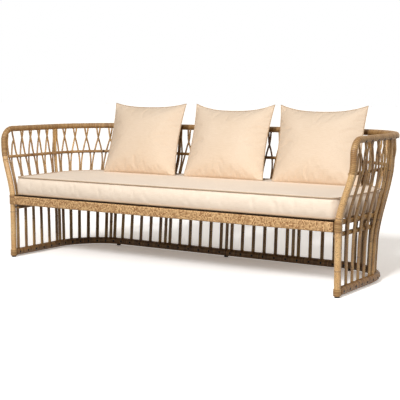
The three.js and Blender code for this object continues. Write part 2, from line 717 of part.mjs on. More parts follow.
// Bindings and glides
for (const side of [-1, 1]) {
  const hand = side < 0 ? 'left' : 'right';
  const foot = glideHeight + clearance;
  addPiece(`${hand}_apron_binding`, collar(side, apronBottom, apronTop), 'weave');
  addPiece(`${hand}_foot_binding`, collar(side, foot, foot + footBindingHeight), 'wrap');
}
function addGlide(name, x, y) {
  const geometry = new THREE.CylinderGeometry(glideDiameter / 2, glideDiameter / 2, glideHeight, glideSides);
  const glide = addPiece(name, geometry, 'glide');
  glide.rotation.x = Math.PI / 2;
  glide.position.set(x, y, glideHeight / 2);
}
addGlide('left_front_glide', -halfSpan, 0);
addGlide('right_front_glide', halfSpan, 0);
const rearGlideX = planAt(baseRailHeight).halfBack + glideInset;
const rearGlideY = insideDepth(rearGlideX, baseRailHeight, 0);
addGlide('left_rear_glide', -rearGlideX, rearGlideY);
addGlide('right_rear_glide', rearGlideX, rearGlideY);
addGlide('centre_rear_glide', 0, frameDepth);

// Cushion and pillows
addPiece('seat_cushion', seatCushion(), 'seatCloth');
for (const place of pillowPlaces) {
  const corners = [-1, 1].map((hand) => place.centre + place.footShift + (hand * pillowWidth) / 2);
  const halfWidth = insideHalfWidth(pillowFootSetback, apronTop, cushionInset);
  const nearest = Math.min(...corners.map(Math.abs)) / halfWidth;
  const crown = cushionCrown * cushionSwell(nearest, pillowFootSetback);
  const mesh = addPiece(place.name, pillow(place), 'pillowCloth');
  mesh.rotation.x = -pillowLeanAngle;
  const seatTop = apronTop + softClearance + cushionEdgeHeight + crown;
  mesh.position.set(place.centre, pillowFootSetback, seatTop + clearance);
}

// The origin is on the floor, under the middle of the sofa's box
const box = new THREE.Box3().setFromObject(sofa, true);
sofa.position.y = -(box.min.y + box.max.y) / 2;

export default sofa;
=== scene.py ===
"""Looks of a garden sofa of bent rattan: a cage of thin canes between two wound hoops, a boxed seat
cushion and three scatter pillows. Metres. +X is the right-hand side seen from the front, +Y is the
back, and +Z is up. Places on the cage are given as pitches of its canes, counted from the middle of the
back round each corner to the front post, and a height.
"""

import math

import bpy
import numpy as np
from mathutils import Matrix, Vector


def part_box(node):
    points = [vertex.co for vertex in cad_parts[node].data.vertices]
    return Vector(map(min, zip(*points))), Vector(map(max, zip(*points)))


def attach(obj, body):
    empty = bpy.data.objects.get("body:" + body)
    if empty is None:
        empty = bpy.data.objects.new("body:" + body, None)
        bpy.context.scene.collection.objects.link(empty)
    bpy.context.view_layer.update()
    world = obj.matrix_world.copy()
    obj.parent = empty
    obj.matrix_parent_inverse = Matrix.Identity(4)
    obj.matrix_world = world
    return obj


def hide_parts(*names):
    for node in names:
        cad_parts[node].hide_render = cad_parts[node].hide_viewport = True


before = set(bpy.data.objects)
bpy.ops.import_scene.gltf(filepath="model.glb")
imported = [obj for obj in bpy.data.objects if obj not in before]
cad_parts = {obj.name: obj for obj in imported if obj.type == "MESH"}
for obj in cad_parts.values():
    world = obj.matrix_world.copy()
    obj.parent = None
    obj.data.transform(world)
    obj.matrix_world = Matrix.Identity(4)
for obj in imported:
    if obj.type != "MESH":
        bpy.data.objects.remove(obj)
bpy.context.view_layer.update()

TURN = 2 * math.pi
UPWARD = np.array([0, 0, 1.0])
BACKWARD = np.array([0, 1.0, 0])


def limits(node):
    low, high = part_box(node)
    return np.array(low), np.array(high)


def middle(node):
    low, high = limits(node)
    return (low + high) / 2


def extent(node):
    low, high = limits(node)
    return high - low


def pole_radius(node, sides):
    """A faceted pole lies on its flats, so half its height over the flats' share is its true radius."""
    return extent(node)[2] / 2 / math.cos(math.pi / sides)


# Sizes read from the frame
RAIL_SIDES = 10
POLE_SIDES = 8
HALF_SPAN, FRONT_Y, _ = middle("right_front_glide")
DEPTH = middle("centre_rear_glide")[1] - FRONT_Y
TOP_Z = middle("back_top_rail")[2]
BASE_Z = middle("back_base_rail")[2]
MID_Z = middle("back_mid_rail")[2]
TOP_RADIUS = pole_radius("back_top_rail", RAIL_SIDES)
BASE_RADIUS = pole_radius("back_base_rail", RAIL_SIDES)
SIDE_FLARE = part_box("right_arm_rail")[1].x - TOP_RADIUS - HALF_SPAN
BACK_FLARE = middle("back_top_rail")[1] - FRONT_Y - DEPTH
GLIDE_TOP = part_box("right_front_glide")[1].z

# Sizes of the cage's plan and flare
CORNER_RADIUS = 0.275
TOP_CORNER_RADIUS = 0.372
POST_LEAN = 0.008
POST_FLARE_START = 0.320
POST_FLARE_END = 0.620
BACK_FLARE_START = 0.190
BACK_FLARE_END = 0.590
LEAN_SHARE = 0.35
FRONT_BEND_RADIUS = 0.065
POST_PITCH = 24
CORNER_START_PITCH = 10.3
CORNER_END_PITCH = 18.2
STRUT_EVERY = 6
JUST_OFF_MIDDLE = 0.001

# Sizes of poles and canes
POST_RADIUS = 0.0155
STRUT_RADIUS = 0.009
CANE_RADIUS = 0.005
BINDING_WALL = 0.003
SPLIT_Z = 0.475
CROSS_Z = 0.640
TOP_SPREAD = 0.026
POST_TOP_SPREAD = 0.008
SPLIT_POWER = 1.8
ARC_BULGE = 0.3
CROSS_HALF_HEIGHT = 0.035
SEATED = 0.003
KNOT_GAP = 0.27
FIRST_KNOT = 0.04
KNOT_SCATTER = 0.02
KNOT_HALF_LENGTH = 0.0022
KNOT_SWELL = 0.09
KNOT_RINGS = np.array([-1.6, -0.8, 0, 0.8, 1.6])

# How finely poles and canes are made: points round each, and metres between their rings
HOOP_SIDES = 16
BASE_HOOP_SIDES = 14
BINDING_SIDES = 24
POST_SIDES = 20
STOUT_SIDES = 14
THIN_SIDES = 10
RING_GAP = 0.009
POST_RING_GAP = 0.006
STRAIGHT_RING_GAP = 0.02

# Seeds of the knots and tones
POST_SEED = 11
BEARER_SEED = 20
SLAT_SEED = 30
STRUT_SEED = 100
PANEL_SEED = 1000

# Split cane wound round the hoops, and woven on the apron
WRAP_PITCH = 0.008
WRAP_GROOVE = 0.0009
RINGS_PER_TURN = 6
WEAVE_STRIP = 0.006
WEAVE_RELIEF = 0.0011
WEAVE_END_SHARE = 0.97
DIPPED_SHARE = 0.4
APRON_AROUND = 72
APRON_STRIPS_ROUND = 24
STEPS_PER_STRIP = 4
# The apron's top is lowered by this gap, and a near-black bar fills it: a painted shadow line under the
# cushion.
APRON_SHADOW_GAP = 0.004
BATTEN_DEPTH = 0.024
BATTEN_SINK = 0.001
BATTEN_SIDES = 24
TACK_RADIUS = 0.0062
TACK_RISE = 0.0024
TACK_STEM = 0.001
TACK_SEATED = 0.0004
TACK_SLANT = 0.8
TACK_TIP_SHARE = 0.05
TACK_SIDES = 8

# Seat cushion
CUSHION_INSET = 0.019
CUSHION_FRONT_RADIUS = 0.034
CUSHION_SEAM_INSET = 0.004
CUSHION_CROWN = 0.0005
CUSHION_SEAM_DROP = 0.004
CUSHION_SWELL = 0.003
PIPING_RADIUS = 0.0030
LOWER_PIPING_RISE = 0.006
PIPING_SIDES = 10
CUSHION_RIM_POINTS = 640
CUSHION_VOXEL = 0.0116
PINNED_VOXELS = 0.7
CUSHION_PRESSURE = 3.0
CUSHION_GROWTH = 0.012

# Scatter pillows
PILLOW_WIDTH = 0.510
PILLOW_HEIGHT = 0.440
PILLOW_THICKNESS = 0.150
PILLOW_DRAW = 0.015
PILLOW_FOOT_SETBACK = 0.552
PILLOW_LEAN = math.radians(25)
PILLOW_SAGS = {"pillow_left": 0.026, "pillow_middle": 0.041, "pillow_right": 0.038}
PILLOW_CELLS = (92, 80)
PILLOW_CROWDING = 0.12
EAR_HEIGHT_POWER = 2.5
EAR_WIDTH_POWER = 2.6
BELLY_SHARE = 0.42
BELLY_SETTLE_POWER = 0.86
BELLY_EDGE_POWER = 2.4
BELLY_SIDE_POWER = 0.62
BELLY_FOOT_POWER = 0.5
PILLOW_PRESSURE = 4.0
PILLOW_GROWTH = 0.02
PILLOW_SWELL = 0.022
PILLOW_SEAM_RADIUS = 0.0022
WELT_SIDES = 8
PUCKER_LENGTH = 0.026
PUCKER_REACH = 0.020
PUCKER_HEIGHT = 0.0038
PUCKER_SEAM_REACH = 0.004
WANDER_TURN, WANDER_LENGTH, WANDER_START = 2.4, 0.19, 1.3
FADING_SHARE, FADING_LENGTH, FADING_START = 0.45, 0.143, 0.7

# Cloth
THREAD_SPACING = 0.0016
FILLING_FRAMES = 20

# Camera of the photograph: its place from the point between the front posts on the floor, its turn
# from straight ahead, its tilt below the level, and its focal length in pixels of a 400-pixel frame
CAMERA_PLACE = (2.927228, -4.041181, 0.948540)
CAMERA_TURN = 0.5843
CAMERA_TILT = 0.113
FOCAL_PIXELS = 997.98
PHOTO_PIXELS = 400
SENSOR_MM = 36

# How pale the camera sees the floor: its reflectance in the light, and a glow that shade keeps. Then
# the distance from its middle to its edges
FLOOR_SEEN = 1.36
FLOOR_GLOW = 0.26
FLOOR_REACH = 40.0

# Lights: the suns with their strength, and their spread, azimuth and elevation in degrees
SUNS = {"key": (1.58, 10, 6, 34), "fill": (0.75, 20, 78, 30)}
PANEL_SIZE = 1.1
PANEL_WATTS = 47
PANEL_PLACE = np.array([1.0, -2.7, 2.1])
PANEL_AIM = np.array([0.1, 0, 0.4])
ROOM_STRENGTH = 0.30


# Places on the cage

def eased(value, start, end):
    """A smooth step from 0 at start to 1 at end: three squares less two cubes."""
    t = np.clip((value - start) / (end - start), 0, 1)
    return t * t * (3 - 2 * t)


def plan(z):
    """The cage's plan at height z. Its back and sides flare by a smooth step mixed with a straight
    lean, and its front posts by a smooth step higher up."""
    lean = np.clip((z - BASE_Z) / (TOP_Z - BASE_Z), 0, 1)
    share = (1 - LEAN_SHARE) * eased(z, BACK_FLARE_START, BACK_FLARE_END) + LEAN_SHARE * lean
    post_share = eased(z, POST_FLARE_START, POST_FLARE_END)
    radius = CORNER_RADIUS + (TOP_CORNER_RADIUS - CORNER_RADIUS) * share
    half_width = HALF_SPAN + SIDE_FLARE * share
    depth = DEPTH + BACK_FLARE * share
    return {
        "radius": radius,
        "half_width": half_width,
        "half_back": half_width - radius,
        "side_end": depth - radius,
        "depth": depth,
        "post_x": HALF_SPAN + SIDE_FLARE * post_share,
        "post_y": POST_LEAN * post_share,
    }


def corner_angle(pitch):
    """How far round its corner a place lies, from 0 on the back to a quarter turn on the arm."""
    share = (np.abs(pitch) - CORNER_START_PITCH) / (CORNER_END_PITCH - CORNER_START_PITCH)
    return np.clip(share, 0, 1) * math.pi / 2


def outward(pitch):
    """The level direction that points out of the cage."""
    pitch = np.asarray(pitch, float)
    angle = corner_angle(pitch)
    return np.stack([np.sign(pitch) * np.sin(angle), np.cos(angle), np.zeros_like(angle)], axis=-1)


def cage(pitch, z, inward=0.0):
    """Points on the cage: a straight back, a quarter circle and a straight arm to the front post."""
    pitch, z, inward = np.broadcast_arrays(np.asarray(pitch, float), z, inward)
    at = plan(z)
    along = np.abs(pitch)
    angle = corner_angle(pitch)
    x = at["half_back"] * np.minimum(along / CORNER_START_PITCH, 1)
    x = x + (at["radius"] - inward) * np.sin(angle)
    y = at["side_end"] + (at["radius"] - inward) * np.cos(angle)
    arm = np.clip((along - CORNER_END_PITCH) / (POST_PITCH - CORNER_END_PITCH), 0, 1)
    x = x + (at["post_x"] - inward - x) * arm
    y = y + (at["post_y"] - y) * arm
    return np.stack([np.sign(pitch) * x, FRONT_Y + y, z], axis=-1)


def pitch_length(pitch, z):
    """The real length of one pitch beside a place at height z."""
    at = plan(z)
    along = abs(pitch)
    if along < CORNER_START_PITCH:
        return at["half_back"] / CORNER_START_PITCH
    if along < CORNER_END_PITCH:
        return math.pi / 2 * at["radius"] / (CORNER_END_PITCH - CORNER_START_PITCH)
    return (at["side_end"] - at["post_y"]) / (POST_PITCH - CORNER_END_PITCH)


# Surfaces

def lengths(path):
    """The length of a path up to each of its points."""
    steps = np.linalg.norm(np.diff(path, axis=0), axis=1)
    return np.concatenate([[0], np.cumsum(steps)])


def follow(places, length, rows):
    """Rows of values read off at places along a length, in straight lines between the rows."""
    return np.stack([np.interp(places, length, column) for column in rows.T], axis=1)


def even_loop(outline, count):
    """A closed outline as evenly spaced points, and the share of its length at each."""
    outline = np.concatenate([outline, outline[:1]])
    length = lengths(outline)
    places = np.linspace(0, length[-1], count, endpoint=False)
    return follow(places, length, outline), places / length[-1]


def unit(vectors):
    return vectors / np.linalg.norm(vectors, axis=-1, keepdims=True)


def grid_faces(rows, columns, closed):
    """Quads over a grid of points in reading order, with the first column after the last if closed."""
    steps = columns if closed else columns - 1
    i, j = np.meshgrid(np.arange(rows - 1), np.arange(steps), indexing="ij")
    right = (j + 1) % columns
    quads = np.stack([i * columns + j, (i + 1) * columns + j, (i + 1) * columns + right,
                      i * columns + right], axis=-1).reshape(-1, 4)
    corners = np.stack([np.stack([i, j], -1), np.stack([i + 1, j], -1), np.stack([i + 1, j + 1], -1),
                        np.stack([i, j + 1], -1)], axis=2).reshape(-1, 4, 2)
    return quads, corners


def cap_faces(rows, around, flipped=False):
    """Triangles that close a stack of rings from two hubs, which are the points after its last ring.
    Flipped, they face the other way."""
    j = np.arange(around)
    beyond = (j + 1) % around
    last = (rows - 1) * around
    start = np.stack([np.full(around, rows * around), j, beyond], axis=1)
    end = np.stack([np.full(around, rows * around + 1), last + beyond, last + j], axis=1)
    faces = np.concatenate([start, end])
    return faces[:, [0, 2, 1]] if flipped else faces


def tube(path, radius, sides, reference, uv_scale=1.0, ring=None, tone=0.5):
    """A closed skin along a path. Each ring of points lies square to the path, turned from the
    reference direction, at a radius given once, for each ring or for each point. One point closes each
    end. The map gives the length along the path times a scale, and the share of a turn."""
    count = len(path)
    step = unit(np.gradient(path, axis=0))
    across = unit(np.cross(step, np.broadcast_to(reference, path.shape)))
    over = np.cross(across, step)
    turn = TURN * np.arange(sides) / sides
    radius = np.asarray(radius, float)
    radius = np.broadcast_to(radius[:, None] if radius.ndim == 1 else radius, (count, sides))
    spokes = across[:, None] * np.cos(turn)[:, None] + over[:, None] * np.sin(turn)[:, None]
    points = (path[:, None] + radius[..., None] * spokes).reshape(-1, 3)
    quads, corners = grid_faces(count, sides, True)
    length = lengths(path) * uv_scale
    quad_map = np.stack([length[corners[..., 0]], corners[..., 1] / sides], axis=-1)
    cap_map = np.zeros((2 * sides, 3, 2))
    cap_map[sides:, :, 0] = length[-1]
    cap_map[..., 1] = np.tile(np.arange(sides) / sides, 2)[:, None]
    marks = np.zeros(count) if ring is None else ring
    return {
        "points": np.concatenate([points, path[[0, -1]]]),
        "quads": quads,
        "triangles": cap_faces(count, sides),
        "map": np.concatenate([quad_map.reshape(-1, 2), cap_map.reshape(-1, 2)]),
        "ring": np.concatenate([np.repeat(marks, sides), [0, 0]]),
        "tone": np.full(count * sides + 2, tone),
    }


def make_mesh(name, parts):
    """One mesh from several closed skins, with their map and their marks."""
    points, faces, offset = [], [], 0
    for part in parts:
        points.append(part["points"])
        faces += (part["quads"] + offset).tolist() + (part["triangles"] + offset).tolist()
        offset += len(part["points"])
    mesh = bpy.data.meshes.new(name)
    mesh.from_pydata(np.concatenate(points).tolist(), [], faces)
    layer = mesh.uv_layers.new(name="along")
    layer.data.foreach_set("uv", np.concatenate([p["map"] for p in parts]).astype(np.float32).ravel())
    for mark in ("ring", "tone"):
        values = np.concatenate([part[mark] for part in parts]).astype(np.float32)
        mesh.attributes.new(mark, "FLOAT", "POINT").data.foreach_set("value", values)
    return mesh


def add_object(name, data):
    made = bpy.data.objects.new(name, data)
    bpy.context.scene.collection.objects.link(made)
    return made


def add_piece(name, mesh, material, body, nodes=()):
    """A finished mesh as a piece of the sofa, riding on its body and standing for its CAD nodes."""
    mesh.polygons.foreach_set("use_smooth", np.ones(len(mesh.polygons), bool))
    mesh.materials.append(material)
    piece = add_object(name, mesh)
    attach(piece, body)
    if nodes:
        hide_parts(*nodes)
    return piece


def add_skins(name, skins, material, body, nodes=()):
    """A piece made of closed skins."""
    add_piece(name, make_mesh(name, skins), material, body, nodes)


# Nodes and colours of materials

def srgb(code):
    """An sRGB hex colour as linear red, green, blue and alpha."""
    shares = [int(code[i:i + 2], 16) / 255 for i in (1, 3, 5)]
    return [s / 12.92 if s <= 0.04045 else ((s + 0.055) / 1.055) ** 2.4 for s in shares] + [1.0]


def add_node(tree, kind, settings=None, links=None):
    """Adds a shader node. Settings name its own properties or its input sockets. Links name its inputs,
    each with an output socket, or with a node that stands for its first one."""
    made = tree.nodes.new("ShaderNode" + kind)
    for key, value in (settings or {}).items():
        if isinstance(key, int) or key in made.inputs:
            made.inputs[key].default_value = value
        else:
            setattr(made, key, value)
    for key, source in (links or {}).items():
        socket = source.outputs[0] if isinstance(source, bpy.types.Node) else source
        tree.links.new(socket, made.inputs[key])
    return made


def start_material(name):
    """An empty material and its node tree."""
    material = bpy.data.materials.new(name)
    material.use_nodes = True
    material.node_tree.nodes.clear()
    return material, material.node_tree


def seen_rays(tree):
    """A light path node, and 1 for the rays by which the camera sees a thing at once or in gloss."""
    rays = add_node(tree, "LightPath")
    sockets = {0: rays.outputs["Is Camera Ray"], 1: rays.outputs["Is Glossy Ray"]}
    return rays, add_node(tree, "Math", {"operation": "MAXIMUM"}, sockets)


def toned(tree, first, second, share, low, high, dark, light):
    """Two patterns mixed by a share, stretched between a low and a high value, and coloured from dark
    to light."""
    blend = add_node(tree, "Mix", {"data_type": "FLOAT", 0: share}, {2: first, 3: second})
    spread = add_node(tree, "MapRange", {1: low, 2: high}, {0: blend})
    return add_node(tree, "Mix", {"data_type": "RGBA", 6: srgb(dark), 7: srgb(light)}, {0: spread})


def wound_cane(name, light, dark, groove):
    """Rattan peel wound in a close spiral: each strip keeps its own tone, its fibres run along it, and
    the edges of each strip darken to the groove colour, which is painted shade in the grooves. The map
    counts strips along the pole and turns round it."""
    material, tree = start_material(name)
    layer = add_node(tree, "UVMap", {"uv_map": "along"})
    place = add_node(tree, "SeparateXYZ", links={0: layer})
    turns = add_node(tree, "Math", {"operation": "SUBTRACT"},
                     {0: place.outputs[0], 1: place.outputs[1]})
    strip = add_node(tree, "Math", {"operation": "FLOOR"}, {0: turns})
    across = add_node(tree, "Math", {"operation": "FRACT"}, {0: turns})
    tone = add_node(tree, "TexWhiteNoise", {"noise_dimensions": "1D"}, {"W": strip})
    round_it = add_node(tree, "Math", {"operation": "MULTIPLY", 1: 2.2}, {0: place.outputs[1]})
    fibre_place = add_node(tree, "CombineXYZ", links={0: across, 1: round_it, 2: strip})
    stretch = add_node(tree, "Mapping", {"Scale": (7, 1, 1.7)}, {0: fibre_place})
    fibre = add_node(tree, "TexNoise", {"Scale": 2.0, "Detail": 4.0}, {0: stretch})
    peel = toned(tree, fibre, tone, 0.45, 0.2, 0.85, dark, light)
    off_middle = add_node(tree, "Math", {"operation": "SUBTRACT", 1: 0.5}, {0: across})
    edge = add_node(tree, "Math", {"operation": "ABSOLUTE"}, {0: off_middle})
    # Each strip's outer edges take the groove colour: painted shade in the grooves between strips.
    groove_shade = add_node(tree, "MapRange", {1: 0.34, 2: 0.5}, {0: edge})
    colour = add_node(tree, "Mix", {"data_type": "RGBA", 7: srgb(groove)},
                      {0: groove_shade, 6: peel.outputs[2]})
    bump = add_node(tree, "Bump", {"Strength": 0.5, "Distance": 0.0004}, {"Height": fibre})
    rough = add_node(tree, "MapRange", {3: 0.42, 4: 0.6}, {0: fibre})
    shader = add_node(tree, "BsdfPrincipled", {"Coat Weight": 0.08, "Coat Roughness": 0.35},
                      {"Base Color": colour.outputs[2], "Roughness": rough, "Normal": bump})
    add_node(tree, "OutputMaterial", links={0: shader})
    return material


def round_cane(name, light, dark, knot, coat=0.22, gloss=0.5):
    """Whole rattan with its skin: satin, with long fibres, smoked patches a hand long, flecks 4 mm
    across and a dark ring at each knot. The map gives metres along the cane and the share of a turn
    round it."""
    material, tree = start_material(name)
    layer = add_node(tree, "UVMap", {"uv_map": "along"})
    stretch = add_node(tree, "Mapping", {"Scale": (16, 9, 1)}, {0: layer})
    fibre = add_node(tree, "TexNoise", {"Scale": 1.6, "Detail": 5.0}, {0: stretch})
    where = add_node(tree, "TexCoord")
    patch = add_node(tree, "TexNoise", {"Scale": 9.0, "Detail": 2.0}, {0: where.outputs["Object"]})
    tone = add_node(tree, "Attribute", {"attribute_name": "tone"})
    ring = add_node(tree, "Attribute", {"attribute_name": "ring"})
    grain = add_node(tree, "Mix", {"data_type": "FLOAT", 0: 0.5}, {2: fibre, 3: patch})
    spread = add_node(tree, "MapRange", {1: 0.37, 2: 0.63}, {0: grain})
    blend = add_node(tree, "Mix", {"data_type": "FLOAT", 0: 0.45}, {2: spread, 3: tone.outputs["Fac"]})
    skin = add_node(tree, "Mix", {"data_type": "RGBA", 6: srgb(dark), 7: srgb(light)}, {0: blend})
    fleck = add_node(tree, "TexNoise", {"Scale": 240.0, "Detail": 1.0}, {0: where.outputs["Object"]})
    flecks = add_node(tree, "MapRange", {1: 0.50, 2: 0.68, 4: 0.6}, {0: fleck})
    flecked = add_node(tree, "Mix", {"data_type": "RGBA", 7: srgb(knot)},
                       {0: flecks, 6: skin.outputs[2]})
    marked = add_node(tree, "Math", {"operation": "MULTIPLY", 1: 0.75}, {0: ring.outputs["Fac"]})
    colour = add_node(tree, "Mix", {"data_type": "RGBA", 7: srgb(knot)},
                      {0: marked, 6: flecked.outputs[2]})
    bump = add_node(tree, "Bump", {"Strength": 0.4, "Distance": 0.0004}, {"Height": fibre})
    rough = add_node(tree, "MapRange", {3: 0.36, 4: 0.55}, {0: fibre})
    shader = add_node(tree, "BsdfPrincipled",
                      {"Coat Weight": coat, "Coat Roughness": 0.24, "Specular IOR Level": gloss},
                      {"Base Color": colour.outputs[2], "Roughness": rough, "Normal": bump})
    add_node(tree, "OutputMaterial", links={0: shader})
    return material


def woven_cane(name, light, dark, gap):
    """Split cane in a plain weave: every crossing shows one strip, each with its own tone, and the gaps
    between strips are dark. The map counts strips both ways."""
    material, tree = start_material(name)
    layer = add_node(tree, "UVMap", {"uv_map": "along"})
    cell = add_node(tree, "VectorMath", {"operation": "FLOOR"}, {0: layer})
    inside = add_node(tree, "VectorMath", {"operation": "FRACTION"}, {0: layer})
    tone = add_node(tree, "TexWhiteNoise", {"noise_dimensions": "2D"}, {0: cell})
    stretch = add_node(tree, "Mapping", {"Scale": (3.1, 2.3, 1)}, {0: layer})
    fibre = add_node(tree, "TexNoise", {"Scale": 1.0, "Detail": 4.0}, {0: stretch})
    strip = toned(tree, fibre, tone, 0.55, 0.22, 0.75, dark, light)
    centred = add_node(tree, "VectorMath", {"operation": "SUBTRACT", 1: (0.5, 0.5, 0)}, {0: inside})
    sides = add_node(tree, "VectorMath", {"operation": "ABSOLUTE"}, {0: centred})
    side = add_node(tree, "SeparateXYZ", links={0: sides})
    edge = add_node(tree, "Math", {"operation": "MAXIMUM"}, {0: side.outputs[0], 1: side.outputs[1]})
    shade = add_node(tree, "MapRange", {1: 0.38, 2: 0.5, 4: 0.85}, {0: edge})
    colour = add_node(tree, "Mix", {"data_type": "RGBA", 7: srgb(gap)}, {0: shade, 6: strip.outputs[2]})
    bump = add_node(tree, "Bump", {"Strength": 0.5, "Distance": 0.0005}, {"Height": fibre})
    shader = add_node(tree, "BsdfPrincipled", {"Roughness": 0.58, "Coat Weight": 0.05},
                      {"Base Color": colour.outputs[2], "Normal": bump})
    add_node(tree, "OutputMaterial", links={0: shader})
    return material


def canvas(name, thread, hollow, turn):
    """Plain woven outdoor canvas of thick spun yarn: matt, with a soft sheen at grazing angles and
    uneven yarns. The threads are drawn 1.6 mm apart, twice as coarse as real ones, so that they
    show."""
    material, tree = start_material(name)
    where = add_node(tree, "TexCoord")
    lay = add_node(tree, "Mapping", {"Rotation": (turn, 0, 0)}, {0: where.outputs["Object"]})
    place = add_node(tree, "SeparateXYZ", links={0: lay})
    weft_place = add_node(tree, "Math", {"operation": "ADD"},
                          {0: place.outputs[1], 1: place.outputs[2]})
    waves = []
    for across in (place.outputs[0], weft_place.outputs[0]):
        turns = add_node(tree, "Math", {"operation": "MULTIPLY", 1: TURN / THREAD_SPACING}, {0: across})
        waves.append(add_node(tree, "Math", {"operation": "SINE"}, {0: turns}))
    weave = add_node(tree, "Math", {"operation": "MULTIPLY"}, {0: waves[0], 1: waves[1]})
    slub_lay = add_node(tree, "Mapping", {"Scale": (1, 14, 14)}, {0: lay})
    slub = add_node(tree, "TexNoise", {"Scale": 26.0, "Detail": 3.0}, {0: slub_lay})
    cloud = add_node(tree, "TexNoise", {"Scale": 5.0, "Detail": 2.0}, {0: where.outputs["Object"]})
    uneven = add_node(tree, "Mix", {"data_type": "FLOAT", 0: 0.4}, {2: slub, 3: cloud})
    lift = add_node(tree, "Math", {"operation": "MULTIPLY", 1: 0.12}, {0: weave})
    amount = add_node(tree, "Math", {"operation": "ADD"}, {0: uneven, 1: lift})
    spread = add_node(tree, "MapRange", {1: 0.3, 2: 0.7}, {0: amount})
    colour = add_node(tree, "Mix", {"data_type": "RGBA", 6: srgb(hollow), 7: srgb(thread)}, {0: spread})
    bump = add_node(tree, "Bump", {"Strength": 0.35, "Distance": 0.0003}, {"Height": weave})
    shader = add_node(tree, "BsdfPrincipled",
                      {"Roughness": 0.92, "Sheen Weight": 0.12, "Sheen Roughness": 0.5,
                       "Specular IOR Level": 0.2}, {"Base Color": colour.outputs[2], "Normal": bump})
    add_node(tree, "OutputMaterial", links={0: shader})
    return material


def moulded_rubber(name):
    """Injection-moulded black rubber: matt, with a fine grain and a little dust."""
    material, tree = start_material(name)
    where = add_node(tree, "TexCoord")
    grain = add_node(tree, "TexNoise", {"Scale": 900.0, "Detail": 2.0}, {0: where.outputs["Object"]})
    colour = add_node(tree, "Mix", {"data_type": "RGBA", 6: srgb("#1E1B19"), 7: srgb("#37322D")},
                      {0: grain})
    bump = add_node(tree, "Bump", {"Strength": 0.3, "Distance": 0.0002}, {"Height": grain})
    shader = add_node(tree, "BsdfPrincipled", {"Roughness": 0.75},
                      {"Base Color": colour.outputs[2], "Normal": bump})
    add_node(tree, "OutputMaterial", links={0: shader})
    return material


def blackened_steel(name):
    """Blued steel tack heads: dark, half shiny, with rubbed spots."""
    material, tree = start_material(name)
    where = add_node(tree, "TexCoord")
    rub = add_node(tree, "TexNoise", {"Scale": 400.0, "Detail": 3.0}, {0: where.outputs["Object"]})
    colour = add_node(tree, "Mix", {"data_type": "RGBA", 6: srgb("#14110F"), 7: srgb("#2E2823")},
                      {0: rub})
    rough = add_node(tree, "MapRange", {3: 0.3, 4: 0.55}, {0: rub})
    shader = add_node(tree, "BsdfPrincipled", {"Metallic": 0.6},
                      {"Base Color": colour.outputs[2], "Roughness": rough})
    add_node(tree, "OutputMaterial", links={0: shader})
    return material


# The third colour of each wrap is the painted shade in its grooves.
TOP_WRAP = wound_cane("split_cane_wrap", "#BB955F", "#885F31", "#4A2E14")
# A darker copy of the top wrap, darker still at its dark end and grooves: painted shade for the low
# hoop under the seat.
SHADED_BASE_WRAP = wound_cane("split_cane_base_wrap_shaded", "#B18650", "#654222", "#22140A")
POST_CANE = round_cane("peeled_cane", "#EBC890", "#C1925A", "#6A441F")
CAGE_CANE = round_cane("smoked_cane", "#DDB272", "#764B22", "#2C190A")
# Near-black and matt: a painted shadow, for the dark line between cushion and apron.
SHADOW_LINE_CANE = round_cane("shadow_line_cane", "#2A190A", "#170C04", "#0C0602", 0.0, 0.1)
APRON_WEAVE = woven_cane("woven_split_cane", "#EAC18A", "#8F5E2D", "#472C14")
SEAT_CANVAS = canvas("seat_canvas", "#F7E6D3", "#F0DDC8", 0.0)
SEAM_CANVAS = canvas("piping_canvas", "#C9B094", "#B3977A", 0.0)
PILLOW_CANVAS = canvas("pillow_canvas", "#E2CEB8", "#D8C1A7", PILLOW_LEAN)
# Darker than the pillow canvas: painted shadow along the welts, for the dark line where the pillows
# rest on the cushion.
PILLOW_WELT_SHADOW_CANVAS = canvas("pillow_welt_shadow_canvas", "#CDB498", "#B89C7D", PILLOW_LEAN)
GLIDE_RUBBER = moulded_rubber("moulded_rubber")
TACK_STEEL = blackened_steel("blackened_steel")


# Wound poles

def wound_pole(path, radius, reference, sides=HOOP_SIDES, end_radius=None):
    """A pole under a spiral of split cane: its radius drops in a groove once a pitch, by the fourth
    power of the place across each strip, and rounds off at its ends."""
    length = lengths(path)
    turns = max(int(round(length[-1] / WRAP_PITCH)), 2)
    places = np.linspace(0, length[-1], turns * RINGS_PER_TURN + 1)
    fine = follow(places, length, path)
    facing = follow(places, length, np.broadcast_to(reference, path.shape))
    share = (places[:, None] / WRAP_PITCH - np.arange(sides) / sides) % 1
    depth = WRAP_GROOVE * np.abs(2 * share - 1) ** 4
    rounding = 2 * WRAP_GROOVE
    to_end = np.minimum(places, length[-1] - places)
    ease = np.sqrt(np.clip(1 - (1 - np.clip(to_end / rounding, 0, 1)) ** 2, 0, 1))
    inner = radius - rounding if end_radius is None else end_radius
    skin = inner + (radius - inner) * ease
    return tube(fine, skin[:, None] - depth, sides, facing, 1 / WRAP_PITCH)


